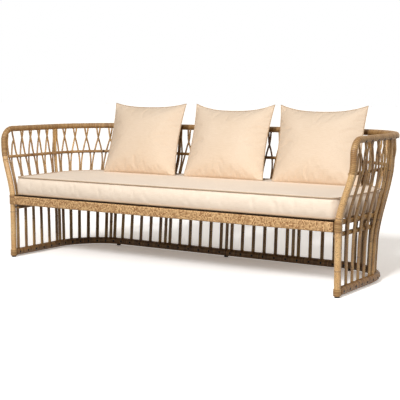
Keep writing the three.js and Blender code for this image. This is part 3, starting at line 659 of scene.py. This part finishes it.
def hoop_half():
    """The top rail's right half from the middle of the back: along the back and the corner, straight
    along the arm, a quarter circle down, and down the flaring post to the mid rail's height."""
    round_back = np.linspace(0, CORNER_END_PITCH, 120)
    at = plan(TOP_Z)
    bend_y = POST_LEAN + FRONT_BEND_RADIUS
    bend_z = TOP_Z - FRONT_BEND_RADIUS
    arm_y = np.linspace(at["side_end"], bend_y, 20)[1:]
    angle = np.linspace(0, math.pi / 2, 24)[1:]
    post_z = np.linspace(bend_z, MID_Z, 24)[1:]
    post_x = at["post_x"]
    arm = np.stack([np.full_like(arm_y, post_x), FRONT_Y + arm_y, np.full_like(arm_y, TOP_Z)], axis=1)
    bend = np.stack([np.full_like(angle, post_x), FRONT_Y + bend_y - FRONT_BEND_RADIUS * np.sin(angle),
                     bend_z + FRONT_BEND_RADIUS * np.cos(angle)], axis=1)
    path = np.concatenate([cage(round_back, TOP_Z), arm, bend, cage(POST_PITCH, post_z)])
    facing = outward(np.maximum(round_back, JUST_OFF_MIDDLE))
    rest = np.broadcast_to(np.array([1.0, 0, 0]), (len(path) - len(facing), 3))
    return path, np.concatenate([facing, rest])


def mirrored(rows):
    return rows * np.array([-1, 1, 1])


def top_hoop():
    right, facing = hoop_half()
    path = np.concatenate([mirrored(right)[:0:-1], right])
    outwards = np.concatenate([mirrored(facing)[:0:-1], facing])
    nodes = ["left_arm_rail", "right_arm_rail", "left_top_corner_rail", "right_top_corner_rail",
             "back_top_rail"]
    add_skins("top_hoop", [wound_pole(path, TOP_RADIUS, outwards)], TOP_WRAP, "frame", nodes)


def base_hoop():
    """The base rail, from inside one foot binding round the back to the other."""
    end = POST_PITCH - POST_RADIUS / pitch_length(POST_PITCH, BASE_Z)
    pitches = np.linspace(-end, end, 400)
    skin = wound_pole(cage(pitches, BASE_Z), BASE_RADIUS, outward(pitches), BASE_HOOP_SIDES)
    nodes = ["left_base_rail", "right_base_rail", "left_base_corner_rail", "right_base_corner_rail",
             "back_base_rail"]
    # The base hoop is wound in the darker copy of the wrap: painted shade.
    add_skins("base_hoop", [skin], SHADED_BASE_WRAP, "frame", nodes)


def post_binding(name, side, node, material):
    """A sleeve of wound cane over a front post, between the heights of its CAD node."""
    low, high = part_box(node)
    heights = np.linspace(low.z, high.z, 12)
    path = cage(side * POST_PITCH, heights)
    sleeve = wound_pole(path, POST_RADIUS + BINDING_WALL, BACKWARD, BINDING_SIDES, POST_RADIUS)
    add_skins(name, [sleeve], material, "frame", [node])


# Round canes

def cane(path, radius, sides, reference, random, spacing=RING_GAP):
    """A round cane. At each knot its radius swells by a bell curve, and the gaps between knots vary a
    little."""
    length = lengths(path)
    knots = np.arange(random.uniform(FIRST_KNOT, KNOT_GAP), length[-1] - 4 * KNOT_HALF_LENGTH, KNOT_GAP)
    knots = knots + random.uniform(-KNOT_SCATTER, KNOT_SCATTER, len(knots))
    count = max(int(round(length[-1] / spacing)), 2)
    round_knots = (knots[:, None] + KNOT_HALF_LENGTH * KNOT_RINGS).ravel()
    places = np.concatenate([np.linspace(0, length[-1], count + 1), round_knots])
    places = np.unique(np.round(np.clip(places, 0, length[-1]), 5))
    swell = np.exp(-(((places[:, None] - knots) / KNOT_HALF_LENGTH) ** 2)).sum(axis=1)
    fine = follow(places, length, path)
    facing = follow(places, length, np.broadcast_to(reference, path.shape))
    rings = radius * (1 + KNOT_SWELL * swell)
    return tube(fine, rings, sides, facing, 1.0, np.clip(swell, 0, 1), random.uniform(0, 1))


def front_post(side, name):
    random = np.random.default_rng(POST_SEED + side)
    path = cage(side * POST_PITCH, np.linspace(GLIDE_TOP, MID_Z + SEATED, 80))
    skin = cane(path, POST_RADIUS, POST_SIDES, BACKWARD, random, POST_RING_GAP)
    node = f"{name}_front_post"
    add_skins(node + "_cane", [skin], POST_CANE, "frame", [node])


def strut(pitch, node):
    random = np.random.default_rng(STRUT_SEED + pitch)
    heights = np.linspace(BASE_Z + BASE_RADIUS - SEATED, TOP_Z - TOP_RADIUS + SEATED, 90)
    facing = outward(pitch if pitch else JUST_OFF_MIDDLE)
    skin = cane(cage(pitch, heights), STRUT_RADIUS, STOUT_SIDES, facing, random)
    add_skins(node + "_pole", [skin], CAGE_CANE, "frame", [node])


def rail_underside(y):
    """How high a cane reaches under the top rail, lower where the front bend comes down."""
    bend_y = FRONT_Y + POST_LEAN + FRONT_BEND_RADIUS
    inner = FRONT_BEND_RADIUS - TOP_RADIUS
    rise = math.sqrt(max(inner ** 2 - max(bend_y - y, 0) ** 2, 0))
    return TOP_Z - FRONT_BEND_RADIUS + (rise if y < bend_y else inner) + SEATED


def panel_cane(first, last, pitch, hand, random):
    """One cane of a pair. It stands beside its twin up to the split and bends away by a power of the
    height up to the crossing. Between two pairs it crosses its neighbour there and goes on as a
    shallow arc, and beside a strut or a post it runs up close to that."""
    centre = pitch + 0.5
    line = pitch if hand < 0 else pitch + 1
    crosses = line not in (first, last)
    at_post = abs(line) == POST_PITCH
    beside = TOP_RADIUS if at_post else STRUT_RADIUS
    half = pitch_length(centre, CROSS_Z) / 2
    reach = half if crosses else half - beside - CANE_RADIUS
    end_spread = min(POST_TOP_SPREAD if at_post else TOP_SPREAD, reach)
    front_edge = centre + np.sign(centre) * end_spread / pitch_length(centre, TOP_Z)
    top = rail_underside(cage(front_edge, TOP_Z)[1])
    z = np.linspace(BASE_Z + BASE_RADIUS - SEATED, top, 110)
    rising = np.clip((z - SPLIT_Z) / (CROSS_Z - SPLIT_Z), 0, 1) ** SPLIT_POWER
    above = np.clip((z - CROSS_Z) / (top - CROSS_Z), 0, 1)
    end = 2 * half - end_spread if crosses else end_spread
    arc = above * (1 + ARC_BULGE - ARC_BULGE * above)
    offset = CANE_RADIUS + (reach - CANE_RADIUS) * rising + (end - reach) * arc
    scale = np.array([pitch_length(centre, height) for height in z])
    layer = np.exp(-((z - CROSS_Z) / CROSS_HALF_HEIGHT) ** 2) if crosses else np.zeros_like(z)
    inward = STRUT_RADIUS - CANE_RADIUS - CANE_RADIUS * hand * layer
    path = cage(centre + hand * offset / scale, z, inward)
    return cane(path, CANE_RADIUS, THIN_SIDES, outward(centre), random)


def cane_panel(first, last, node):
    random = np.random.default_rng(PANEL_SEED + first)
    canes = [panel_cane(first, last, pitch, hand, random)
             for pitch in range(first, last) for hand in (-1, 1)]
    add_skins(node + "_round", canes, CAGE_CANE, "frame", [node])


def inside_rail(name, seed):
    """A rail inside the cage, one bent cane from arm to arm, at the height and depth of its nodes."""
    back = middle(f"back_{name}")
    radius = pole_radius(f"back_{name}", POLE_SIDES)
    z = back[2]
    at = plan(z)
    inward = at["depth"] - (back[1] - FRONT_Y)
    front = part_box(f"right_{name}")[0].y - FRONT_Y
    end = POST_PITCH - (front - at["post_y"]) / pitch_length(POST_PITCH, z)
    pitches = np.linspace(-end, end, 400)
    random = np.random.default_rng(seed)
    skin = cane(cage(pitches, z, inward), radius, STOUT_SIDES, outward(pitches), random)
    nodes = [f"left_{name}", f"right_{name}", f"back_{name}"]
    add_skins(name + "_cane", [skin], CAGE_CANE, "frame", nodes)


def straight_cane(node, axis, seed):
    """A straight bearer or slat along one axis of its CAD node's box, with its knots inside the box."""
    low, high = limits(node)
    radius = pole_radius(node, POLE_SIDES) / (1 + KNOT_SWELL)
    ends = np.stack([middle(node), middle(node)])
    ends[:, axis] = low[axis], high[axis]
    skin = cane(ends, radius, STOUT_SIDES, UPWARD, np.random.default_rng(seed), STRAIGHT_RING_GAP)
    add_skins(node + "_cane", [skin], CAGE_CANE, "frame", [node])


# Apron

def apron_section(depth, height, edge, count):
    """A rectangle with quarter-circle edges, as evenly spaced points and their outward directions."""
    angle = np.linspace(0, math.pi / 2, 12)
    corners = []
    for turn, (y, z) in enumerate([(1, 1), (-1, 1), (-1, -1), (1, -1)]):
        centre = np.array([y * (depth / 2 - edge), z * (height / 2 - edge)])
        bearing = turn * math.pi / 2 + angle
        corners.append(centre + edge * np.stack([np.cos(bearing), np.sin(bearing)], axis=1))
    points, share = even_loop(np.concatenate(corners), count)
    forward = np.roll(points, -1, axis=0) - np.roll(points, 1, axis=0)
    normal = unit(np.stack([forward[:, 1], -forward[:, 0]], axis=1))
    return points, normal, share


def seat_apron():
    """The front beam under a plain weave of split cane. Where a strip lies on top, its skin rises by
    the fourth power of the place across it and by half a sine wave along it."""
    low, high = limits("seat_apron")
    high[2] -= APRON_SHADOW_GAP
    depth, height = (high - low)[1:]
    around = APRON_AROUND
    section, normal, share = apron_section(depth, height, WEAVE_STRIP, around)
    count = int(round((high - low)[0] / WEAVE_STRIP)) * STEPS_PER_STRIP
    x = np.linspace(low[0], high[0], count + 1)
    u = (x[:, None] - low[0]) / WEAVE_STRIP
    v = np.broadcast_to(share * APRON_STRIPS_ROUND, (len(x), around))
    u = np.broadcast_to(u, v.shape)
    over = (np.floor(u) + np.floor(v)) % 2 == 0
    across_u, across_v = 1 - (2 * (u % 1) - 1) ** 4, 1 - (2 * (v % 1) - 1) ** 4
    wave_u, wave_v = np.sin(math.pi * (u % 1)), np.sin(math.pi * (v % 1))
    dip_u, dip_v = (DIPPED_SHARE + (1 - DIPPED_SHARE) * wave for wave in (wave_u, wave_v))
    rise = np.where(over, across_u * dip_v, across_v * dip_u)
    to_end = np.minimum(x - low[0], high[0] - x)
    inset = WEAVE_RELIEF * (rise - 1)
    centre = (low + high) / 2
    yz = section + inset[..., None] * normal
    yz = yz * np.where(to_end < WEAVE_RELIEF, WEAVE_END_SHARE, 1.0)[:, None, None]
    points = np.stack([np.broadcast_to(x[:, None], v.shape), centre[1] + yz[..., 0],
                       centre[2] + yz[..., 1]], axis=-1).reshape(-1, 3)
    quads, corners = grid_faces(len(x), around, True)
    corners = corners[:, ::-1]
    hubs = np.array([[low[0], centre[1], centre[2]], [high[0], centre[1], centre[2]]])
    strips_round = corners[..., 1] / around * APRON_STRIPS_ROUND
    strips_map = np.stack([corners[..., 0] / STEPS_PER_STRIP, strips_round], axis=-1)
    part = {
        "points": np.concatenate([points, hubs]),
        "quads": quads[:, ::-1],
        "triangles": cap_faces(len(x), around, flipped=True),
        "map": np.concatenate([strips_map.reshape(-1, 2), np.zeros((6 * around, 2))]),
        "ring": np.zeros(len(points) + 2),
        "tone": np.full(len(points) + 2, 0.5),
    }
    add_skins("apron_weave", [part], APRON_WEAVE, "frame", ["seat_apron"])


def shadow_batten():
    """A near-black flat bar on the apron, set back under the cushion: a painted shadow line, whose
    section is a fourth-power ellipse along X.
    """
    low, high = limits("seat_apron")
    half_depth, half_height = BATTEN_DEPTH / 2, APRON_SHADOW_GAP / 2 + BATTEN_SINK
    centre_y = high[1] - half_depth
    z = high[2] - half_height
    path = np.array([[low[0], centre_y, z], [high[0], centre_y, z]])
    angle = TURN * np.arange(BATTEN_SIDES) / BATTEN_SIDES
    across, up = np.abs(np.cos(angle)) / half_depth, np.abs(np.sin(angle)) / half_height
    radius = (across ** 4 + up ** 4) ** -0.25
    skin = tube(path, np.stack([radius, radius]), BATTEN_SIDES, UPWARD)
    add_skins("shadow_batten", [skin], SHADOW_LINE_CANE, "frame")


# Tacks

def tack(place, facing):
    """A low round dome on a short stem: rings whose radius and rise follow a quarter circle."""
    angle = np.linspace(0, math.pi / 2, 5)[:-1]
    path = place + facing * np.concatenate([[-TACK_STEM], TACK_RISE * np.sin(angle)])[:, None]
    path = np.concatenate([path, [place + facing * TACK_RISE]])
    radius = TACK_RADIUS * np.concatenate([[1], np.cos(angle), [TACK_TIP_SHARE]])
    return tube(path, radius, TACK_SIDES, UPWARD)


def rail_tacks():
    """Tacks under each pair of canes on both faces of the base rail, and over each pair low on the
    outer face of the top rail."""
    base_heads, top_heads = [], []
    for side in (-1, 1):
        for pitch in range(POST_PITCH):
            centre = side * (pitch + 0.5)
            facing = outward(centre)
            for face in (-1, 1):
                place = cage(centre, BASE_Z) + face * facing * (BASE_RADIUS - TACK_SEATED)
                base_heads.append(tack(place, face * facing))
            if pitch < POST_PITCH - 1:
                slanted = unit(facing - TACK_SLANT * UPWARD)
                place = cage(centre, TOP_Z) + slanted * (TOP_RADIUS - TACK_SEATED)
                top_heads.append(tack(place, slanted))
    add_skins("base_tacks", base_heads, TACK_STEEL, "frame")
    add_skins("top_tacks", top_heads, TACK_STEEL, "frame")


# Soft pieces

def coordinates(mesh):
    points = np.empty(len(mesh.vertices) * 3, np.float32)
    mesh.vertices.foreach_get("co", points)
    return points.reshape(-1, 3).astype(float)


def inflate(piece, pinned, pressure, growth, cap):
    """Fills a closed cloth skin from inside with Blender's cloth solver. Its seams stay in place, its
    panels are cut a little larger than the space between them, and no point moves further than a
    cap."""
    start = coordinates(piece.data)
    seam = piece.vertex_groups.new(name="seam")
    seam.add(np.flatnonzero(pinned).tolist(), 1.0, "REPLACE")
    cloth = piece.modifiers.new("filling", "CLOTH")
    cloth.settings.quality = 5
    cloth.settings.mass = 0.3
    cloth.settings.tension_stiffness = 15
    cloth.settings.compression_stiffness = 15
    cloth.settings.shear_stiffness = 6
    cloth.settings.bending_stiffness = 0.6
    cloth.settings.use_pressure = True
    cloth.settings.uniform_pressure_force = pressure
    cloth.settings.shrink_min = -growth
    cloth.settings.vertex_group_mass = seam.name
    cloth.settings.effector_weights.gravity = 0
    cloth.point_cache.frame_start = 1
    cloth.point_cache.frame_end = FILLING_FRAMES
    for step in range(1, FILLING_FRAMES + 1):
        bpy.context.scene.frame_set(step)
    filled = piece.evaluated_get(bpy.context.evaluated_depsgraph_get())
    moved = coordinates(filled.data) - start
    piece.modifiers.remove(cloth)
    bpy.context.scene.frame_set(1)
    far = np.linalg.norm(moved, axis=1, keepdims=True)
    return start + moved * np.minimum(1, cap / np.maximum(far, 1e-9))


def set_coordinates(mesh, points):
    mesh.vertices.foreach_set("co", points.astype(np.float32).ravel())
    mesh.update()


def subdivide(piece):
    """One level of Catmull-Clark subdivision, the same on screen and in the render."""
    smooth = piece.modifiers.new("smooth", "SUBSURF")
    smooth.levels = 1
    smooth.render_levels = 1


def cushion_outline(inset):
    """The cushion's plan: rows from front to back, each with its depth and half width. Its front
    corners are small quarter circles, its sides follow the arms, and its rear corners the cage's."""
    low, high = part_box("seat_cushion")
    at = plan(low.z)
    side = at["half_width"] - CUSHION_INSET
    post = at["post_x"] - CUSHION_INSET
    rear_y = FRONT_Y + at["side_end"]
    rear_radius = at["radius"] - CUSHION_INSET - inset
    turn = np.linspace(0, math.pi / 2, 13)
    front_y = low.y + CUSHION_FRONT_RADIUS * (1 - np.cos(turn))
    sides_y = np.linspace(low.y + CUSHION_FRONT_RADIUS, rear_y, 40)[1:]
    straight = np.concatenate([front_y, sides_y])
    reach = np.clip((straight - FRONT_Y) / (rear_y - FRONT_Y), 0, 1)
    half = post + (side - post) * reach - inset
    half[:len(turn)] -= CUSHION_FRONT_RADIUS * (1 - np.sin(turn))
    back_turn = np.linspace(0, math.pi / 2, 40)[1:]
    y = np.concatenate([straight, rear_y + rear_radius * np.sin(back_turn)])
    half = np.concatenate([half, side - inset - rear_radius * (1 - np.cos(back_turn))])
    middle_y = (low.y + high.y) / 2
    squeeze = 1 - 2 * inset / (high.y - low.y)
    return middle_y + (y - middle_y) * squeeze, half


def at_height(flat, z):
    return np.concatenate([flat, np.full((len(flat), 1), z)], axis=1)


def cushion_rim(z, inset):
    """A closed loop of evenly spaced points round the cushion at one height."""
    y, half = cushion_outline(inset)
    across = np.linspace(-1, 1, 120)[1:-1]
    front = np.stack([half[0] * across, np.full_like(across, y[0])], axis=1)
    right = np.stack([half, y], axis=1)
    back = np.stack([half[-1] * across[::-1], np.full_like(across, y[-1])], axis=1)
    left = (right * np.array([-1, 1]))[::-1]
    flat, _ = even_loop(np.concatenate([front, right, back, left]), CUSHION_RIM_POINTS)
    return at_height(flat, z)


def cushion_form():
    """The boxed cushion before its filling: a stack of rims that swell between the seams by half a sine
    wave. The top closes inwards in ever smaller copies of the rim, under a crown that falls off as the
    sixth power of the distance from the middle."""
    low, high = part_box("seat_cushion")
    seam_z = seam_height()
    side_z = np.linspace(low.z, seam_z, 12)
    bulge = np.sin(math.pi * (side_z - low.z) / (seam_z - low.z))
    rims = [cushion_rim(z, CUSHION_SEAM_INSET * (1 - b)) for z, b in zip(side_z, bulge)]
    centre = np.array([0, (low.y + high.y) / 2])
    top = rims[-1][:, :2]
    for share in np.linspace(0, 1, 26)[1:-1]:
        flat = top + (centre - top) * share
        crown = CUSHION_CROWN * (1 - (1 - share) ** 6)
        rims.append(at_height(flat, seam_z + crown))
    count = len(rims[0])
    points = np.concatenate(rims)
    quads, _ = grid_faces(len(rims), count, True)
    faces = quads[:, ::-1].tolist() + cap_faces(len(rims), count, flipped=True).tolist()
    hubs = np.array([[0, centre[1], low.z], [0, centre[1], seam_z + CUSHION_CROWN]])
    mesh = bpy.data.meshes.new("seat_cushion_form")
    mesh.from_pydata(np.concatenate([points, hubs]).tolist(), [], faces)
    return mesh


def seam_height():
    """The upper seam lies just under the top of the CAD cushion's crown."""
    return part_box("seat_cushion")[1].z - CUSHION_SEAM_DROP


def near_lines(points, lines, reach):
    """Which points lie within a reach of any point of the lines."""
    lines = lines.astype(np.float32)
    points = points.astype(np.float32)
    square = (points ** 2).sum(1)[:, None] + (lines ** 2).sum(1) - 2 * points @ lines.T
    return square.min(axis=1) < reach ** 2


def seat_cushion():
    form = cushion_form()
    piece = add_object("cushion_blank", form)
    remesh = piece.modifiers.new("even", "REMESH")
    remesh.mode = "VOXEL"
    remesh.voxel_size = CUSHION_VOXEL
    even = bpy.data.meshes.new_from_object(piece.evaluated_get(bpy.context.evaluated_depsgraph_get()))
    bpy.data.objects.remove(piece)
    even.name = "seat_cushion_canvas"
    piece = add_piece("seat_cushion_canvas", even, SEAT_CANVAS, "seat_cushion",
                      ["seat_cushion"])
    low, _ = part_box("seat_cushion")
    upper = cushion_rim(seam_height(), CUSHION_SEAM_INSET)
    lower = cushion_rim(low.z + LOWER_PIPING_RISE, CUSHION_SEAM_INSET)
    points = coordinates(even)
    seams = near_lines(points, np.concatenate([upper, lower]), PINNED_VOXELS * CUSHION_VOXEL)
    resting = points[:, 2] < low.z + LOWER_PIPING_RISE / 2
    points = inflate(piece, seams | resting, CUSHION_PRESSURE, CUSHION_GROWTH, CUSHION_SWELL)
    under_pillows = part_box("pillow_middle")[0].z
    points[:, 2] = np.clip(points[:, 2], low.z, under_pillows)
    set_coordinates(even, points)
    subdivide(piece)
    cords = [tube(np.concatenate([rim, rim[:2]]), PIPING_RADIUS, PIPING_SIDES, UPWARD)
             for rim in (upper, lower)]
    add_skins("seat_cushion_piping", cords, SEAM_CANVAS, "seat_cushion")


def pillow_grid(foot_shift, sag):
    """A pillow's two faces on one grid. The sides draw in between pointed corners by a parabola, the
    upper edge sags by a power of the place that leaves short ears, the foot lies flat, and the faces
    swell from a knife edge by powers of the place, fullest below the middle."""
    columns, rows = PILLOW_CELLS
    s = np.linspace(-1, 1, columns + 1)
    t = np.linspace(-1, 1, rows + 1)
    u, v = np.meshgrid(*(k * (1 + PILLOW_CROWDING - PILLOW_CROWDING * k ** 2) for k in (s, t)))
    half = PILLOW_WIDTH / 2 - PILLOW_DRAW * (1 - v ** 2)
    x = u * half + foot_shift * (1 - v) / 2
    rise = (1 + v) / 2
    z = PILLOW_HEIGHT * rise - sag * rise ** EAR_HEIGHT_POWER * (1 - np.abs(u) ** EAR_WIDTH_POWER)
    settled = 2 * rise ** BELLY_SETTLE_POWER - 1
    to_side, to_foot = (np.clip(1 - np.abs(k) ** BELLY_EDGE_POWER, 0, 1) for k in (u, settled))
    belly = to_side ** BELLY_SIDE_POWER * to_foot ** BELLY_FOOT_POWER
    return x, z, BELLY_SHARE * PILLOW_THICKNESS * belly, u, v


def seam_puckers(x, z, u, v):
    """Ripples square to the seam: a sine along it whose beat wanders, dying away inwards as an
    exponential, and nothing on the seam itself."""
    to_side = (1 - np.abs(u)) * PILLOW_WIDTH / 2
    to_end = (1 - np.abs(v)) * PILLOW_HEIGHT / 2
    along = np.where(to_side < to_end, z, x)
    inward = np.minimum(to_side, to_end)
    wander = WANDER_TURN * np.sin(TURN * along / WANDER_LENGTH + WANDER_START)
    beat = np.sin(TURN * along / PUCKER_LENGTH + wander)
    strength = 1 - FADING_SHARE + FADING_SHARE * np.sin(TURN * along / FADING_LENGTH + FADING_START)
    fade = np.exp(-inward / PUCKER_REACH) * (1 - np.exp(-inward / PUCKER_SEAM_REACH))
    return PUCKER_HEIGHT * beat * strength * fade


def pillow(name, sag):
    low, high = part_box(name)
    foot_shift = (high.x - low.x) - PILLOW_WIDTH
    centre_x = low.x + PILLOW_WIDTH / 2
    x, z, belly, u, v = pillow_grid(foot_shift, sag)
    ripple = seam_puckers(x, z, u, v)
    rows, columns = x.shape
    index = np.arange(rows * columns).reshape(rows, columns)
    rim = np.zeros((rows, columns), bool)
    rim[[0, -1], :] = True
    rim[:, [0, -1]] = True
    front = np.stack([x, -belly, z], axis=-1).reshape(-1, 3)
    back = np.stack([x, belly, z], axis=-1).reshape(-1, 3)
    inner = np.flatnonzero(~rim.ravel())
    back_index = index.copy().ravel()
    back_index[inner] = rows * columns + np.arange(len(inner))
    quads, _ = grid_faces(rows, columns, False)
    quads = quads[:, ::-1]
    faces = np.concatenate([quads, back_index[quads][:, ::-1]])
    points = np.concatenate([front, back[inner]])
    tilt_cos, tilt_sin = math.cos(PILLOW_LEAN), math.sin(PILLOW_LEAN)
    turned = np.stack([points[:, 0], points[:, 1] * tilt_cos + points[:, 2] * tilt_sin,
                       points[:, 2] * tilt_cos - points[:, 1] * tilt_sin], axis=1)
    turned += np.array([centre_x, FRONT_Y + PILLOW_FOOT_SETBACK, low.z])
    mesh = bpy.data.meshes.new(name + "_canvas")
    mesh.from_pydata(turned.tolist(), [], faces.tolist())
    piece = add_piece(name + "_canvas", mesh, PILLOW_CANVAS, name, [name])
    pinned = np.zeros(len(points), bool)
    pinned[index[rim]] = True
    turned = inflate(piece, pinned, PILLOW_PRESSURE, PILLOW_GROWTH, PILLOW_SWELL)
    facing = np.array([0, -tilt_cos, tilt_sin])
    both = np.concatenate([ripple.ravel(), -ripple.ravel()[inner]])
    turned = turned + both[:, None] * facing
    turned[:, 2] = np.maximum(turned[:, 2], low.z)
    set_coordinates(mesh, turned)
    subdivide(piece)
    loop = np.concatenate([index[0, :-1], index[:-1, -1], index[-1, :0:-1], index[:0:-1, 0]])
    seam = turned[np.concatenate([loop, loop[:2]])]
    seam[:, 2] = np.maximum(seam[:, 2], low.z + PILLOW_SEAM_RADIUS)
    welt = tube(seam, PILLOW_SEAM_RADIUS, WELT_SIDES, facing)
    # The welt in the darker canvas: a painted contact shadow under the pillow, and a darker outline
    # round it.
    add_skins(name + "_seam", [welt], PILLOW_WELT_SHADOW_CANVAS, name)


# The frame of the sofa

top_hoop()
base_hoop()
rail_tacks()
for side, hand in ((-1, "left"), (1, "right")):
    front_post(side, hand)
    post_binding(f"{hand}_apron_binding_wrap", side, f"{hand}_apron_binding", TOP_WRAP)
    post_binding(f"{hand}_foot_binding_wrap", side, f"{hand}_foot_binding", TOP_WRAP)
    for count in (1, 2, 3):
        strut(side * STRUT_EVERY * count, f"{hand}_strut_{count}")
    for count, panel in enumerate(("back_inner", "back_outer", "corner", "arm")):
        ends = sorted((side * STRUT_EVERY * count, side * STRUT_EVERY * (count + 1)))
        cane_panel(*ends, f"{hand}_{panel}_canes")
strut(0, "centre_strut")
for seed, rail in enumerate(("mid_rail", "seat_rail", "lower_rail")):
    inside_rail(rail, seed)
seat_apron()
shadow_batten()
for number in range(1, 6):
    straight_cane(f"seat_bearer_{number}", 1, BEARER_SEED + number)
    straight_cane(f"seat_slat_{number}", 0, SLAT_SEED + number)
for node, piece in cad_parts.items():
    if node.endswith("_glide"):
        piece.data.materials.clear()
        piece.data.materials.append(GLIDE_RUBBER)

# Cushion and pillows
seat_cushion()
for name, sag in PILLOW_SAGS.items():
    pillow(name, sag)


# Floor, light and camera

def floor():
    """A pale matt floor. The camera sees it brighter by a fixed glow, so that it is white outside the
    sofa's shadow, and the light that it throws back on the sofa has no such glow."""
    mesh = bpy.data.meshes.new("floor")
    corners = [(x * FLOOR_REACH, y * FLOOR_REACH, 0) for x, y in ((-1, -1), (1, -1), (1, 1), (-1, 1))]
    mesh.from_pydata(corners, [], [(0, 1, 2, 3)])
    material, tree = start_material("pale_floor")
    _, seen = seen_rays(tree)
    matt = add_node(tree, "BsdfDiffuse", {"Color": srgb("#625D57")})
    pale = add_node(tree, "BsdfDiffuse", {"Color": [FLOOR_SEEN] * 3 + [1.0]})
    glow = add_node(tree, "Emission", {"Color": srgb("#F6EAE0"), "Strength": FLOOR_GLOW})
    bright = add_node(tree, "AddShader", links={0: pale, 1: glow})
    both = add_node(tree, "MixShader", links={0: seen, 1: matt, 2: bright})
    add_node(tree, "OutputMaterial", links={0: both})
    mesh.materials.append(material)
    add_object("floor", mesh)


def studio():
    """A key sun from high in front, a softer one from the right, a square panel near the front, and an
    even pale room."""
    world = bpy.data.worlds.new("studio")
    bpy.context.scene.world = world
    world.use_nodes = True
    tree = world.node_tree
    tree.nodes.clear()
    rays, direct = seen_rays(tree)
    seen = add_node(tree, "Math", {"operation": "MAXIMUM"},
                    {0: direct, 1: rays.outputs["Is Transmission Ray"]})
    room = add_node(tree, "Background", {"Color": srgb("#F7F2EA"), "Strength": ROOM_STRENGTH})
    backdrop = add_node(tree, "Background", {"Color": srgb("#FFFFFF"), "Strength": 1.0})
    mix = add_node(tree, "MixShader", links={0: seen, 1: room, 2: backdrop})
    add_node(tree, "OutputWorld", links={0: mix})
    for name, (strength, spread, azimuth, elevation) in SUNS.items():
        lamp = bpy.data.lights.new(name, "SUN")
        lamp.energy = strength
        lamp.angle = math.radians(spread)
        holder = add_object(name, lamp)
        holder.rotation_euler = (math.radians(90 - elevation), 0, math.radians(azimuth))
    panel = bpy.data.lights.new("panel", "AREA")
    panel.shape = "SQUARE"
    panel.size = PANEL_SIZE
    panel.energy = PANEL_WATTS
    holder = add_object("panel", panel)
    aim = PANEL_AIM - PANEL_PLACE
    holder.location = PANEL_PLACE
    holder.rotation_euler = (math.acos(-aim[2] / np.linalg.norm(aim)), 0, math.atan2(-aim[0], aim[1]))


def camera():
    lens = bpy.data.cameras.new("camera")
    lens.sensor_width = SENSOR_MM
    lens.lens = FOCAL_PIXELS / PHOTO_PIXELS * SENSOR_MM
    holder = add_object("camera", lens)
    x, y, z = CAMERA_PLACE
    holder.location = (x, FRONT_Y + y, z)
    holder.rotation_euler = (math.pi / 2 - CAMERA_TILT, 0, CAMERA_TURN)
    bpy.context.scene.camera = holder


floor()
studio()
camera()
bpy.context.scene.view_settings.view_transform = "Standard"
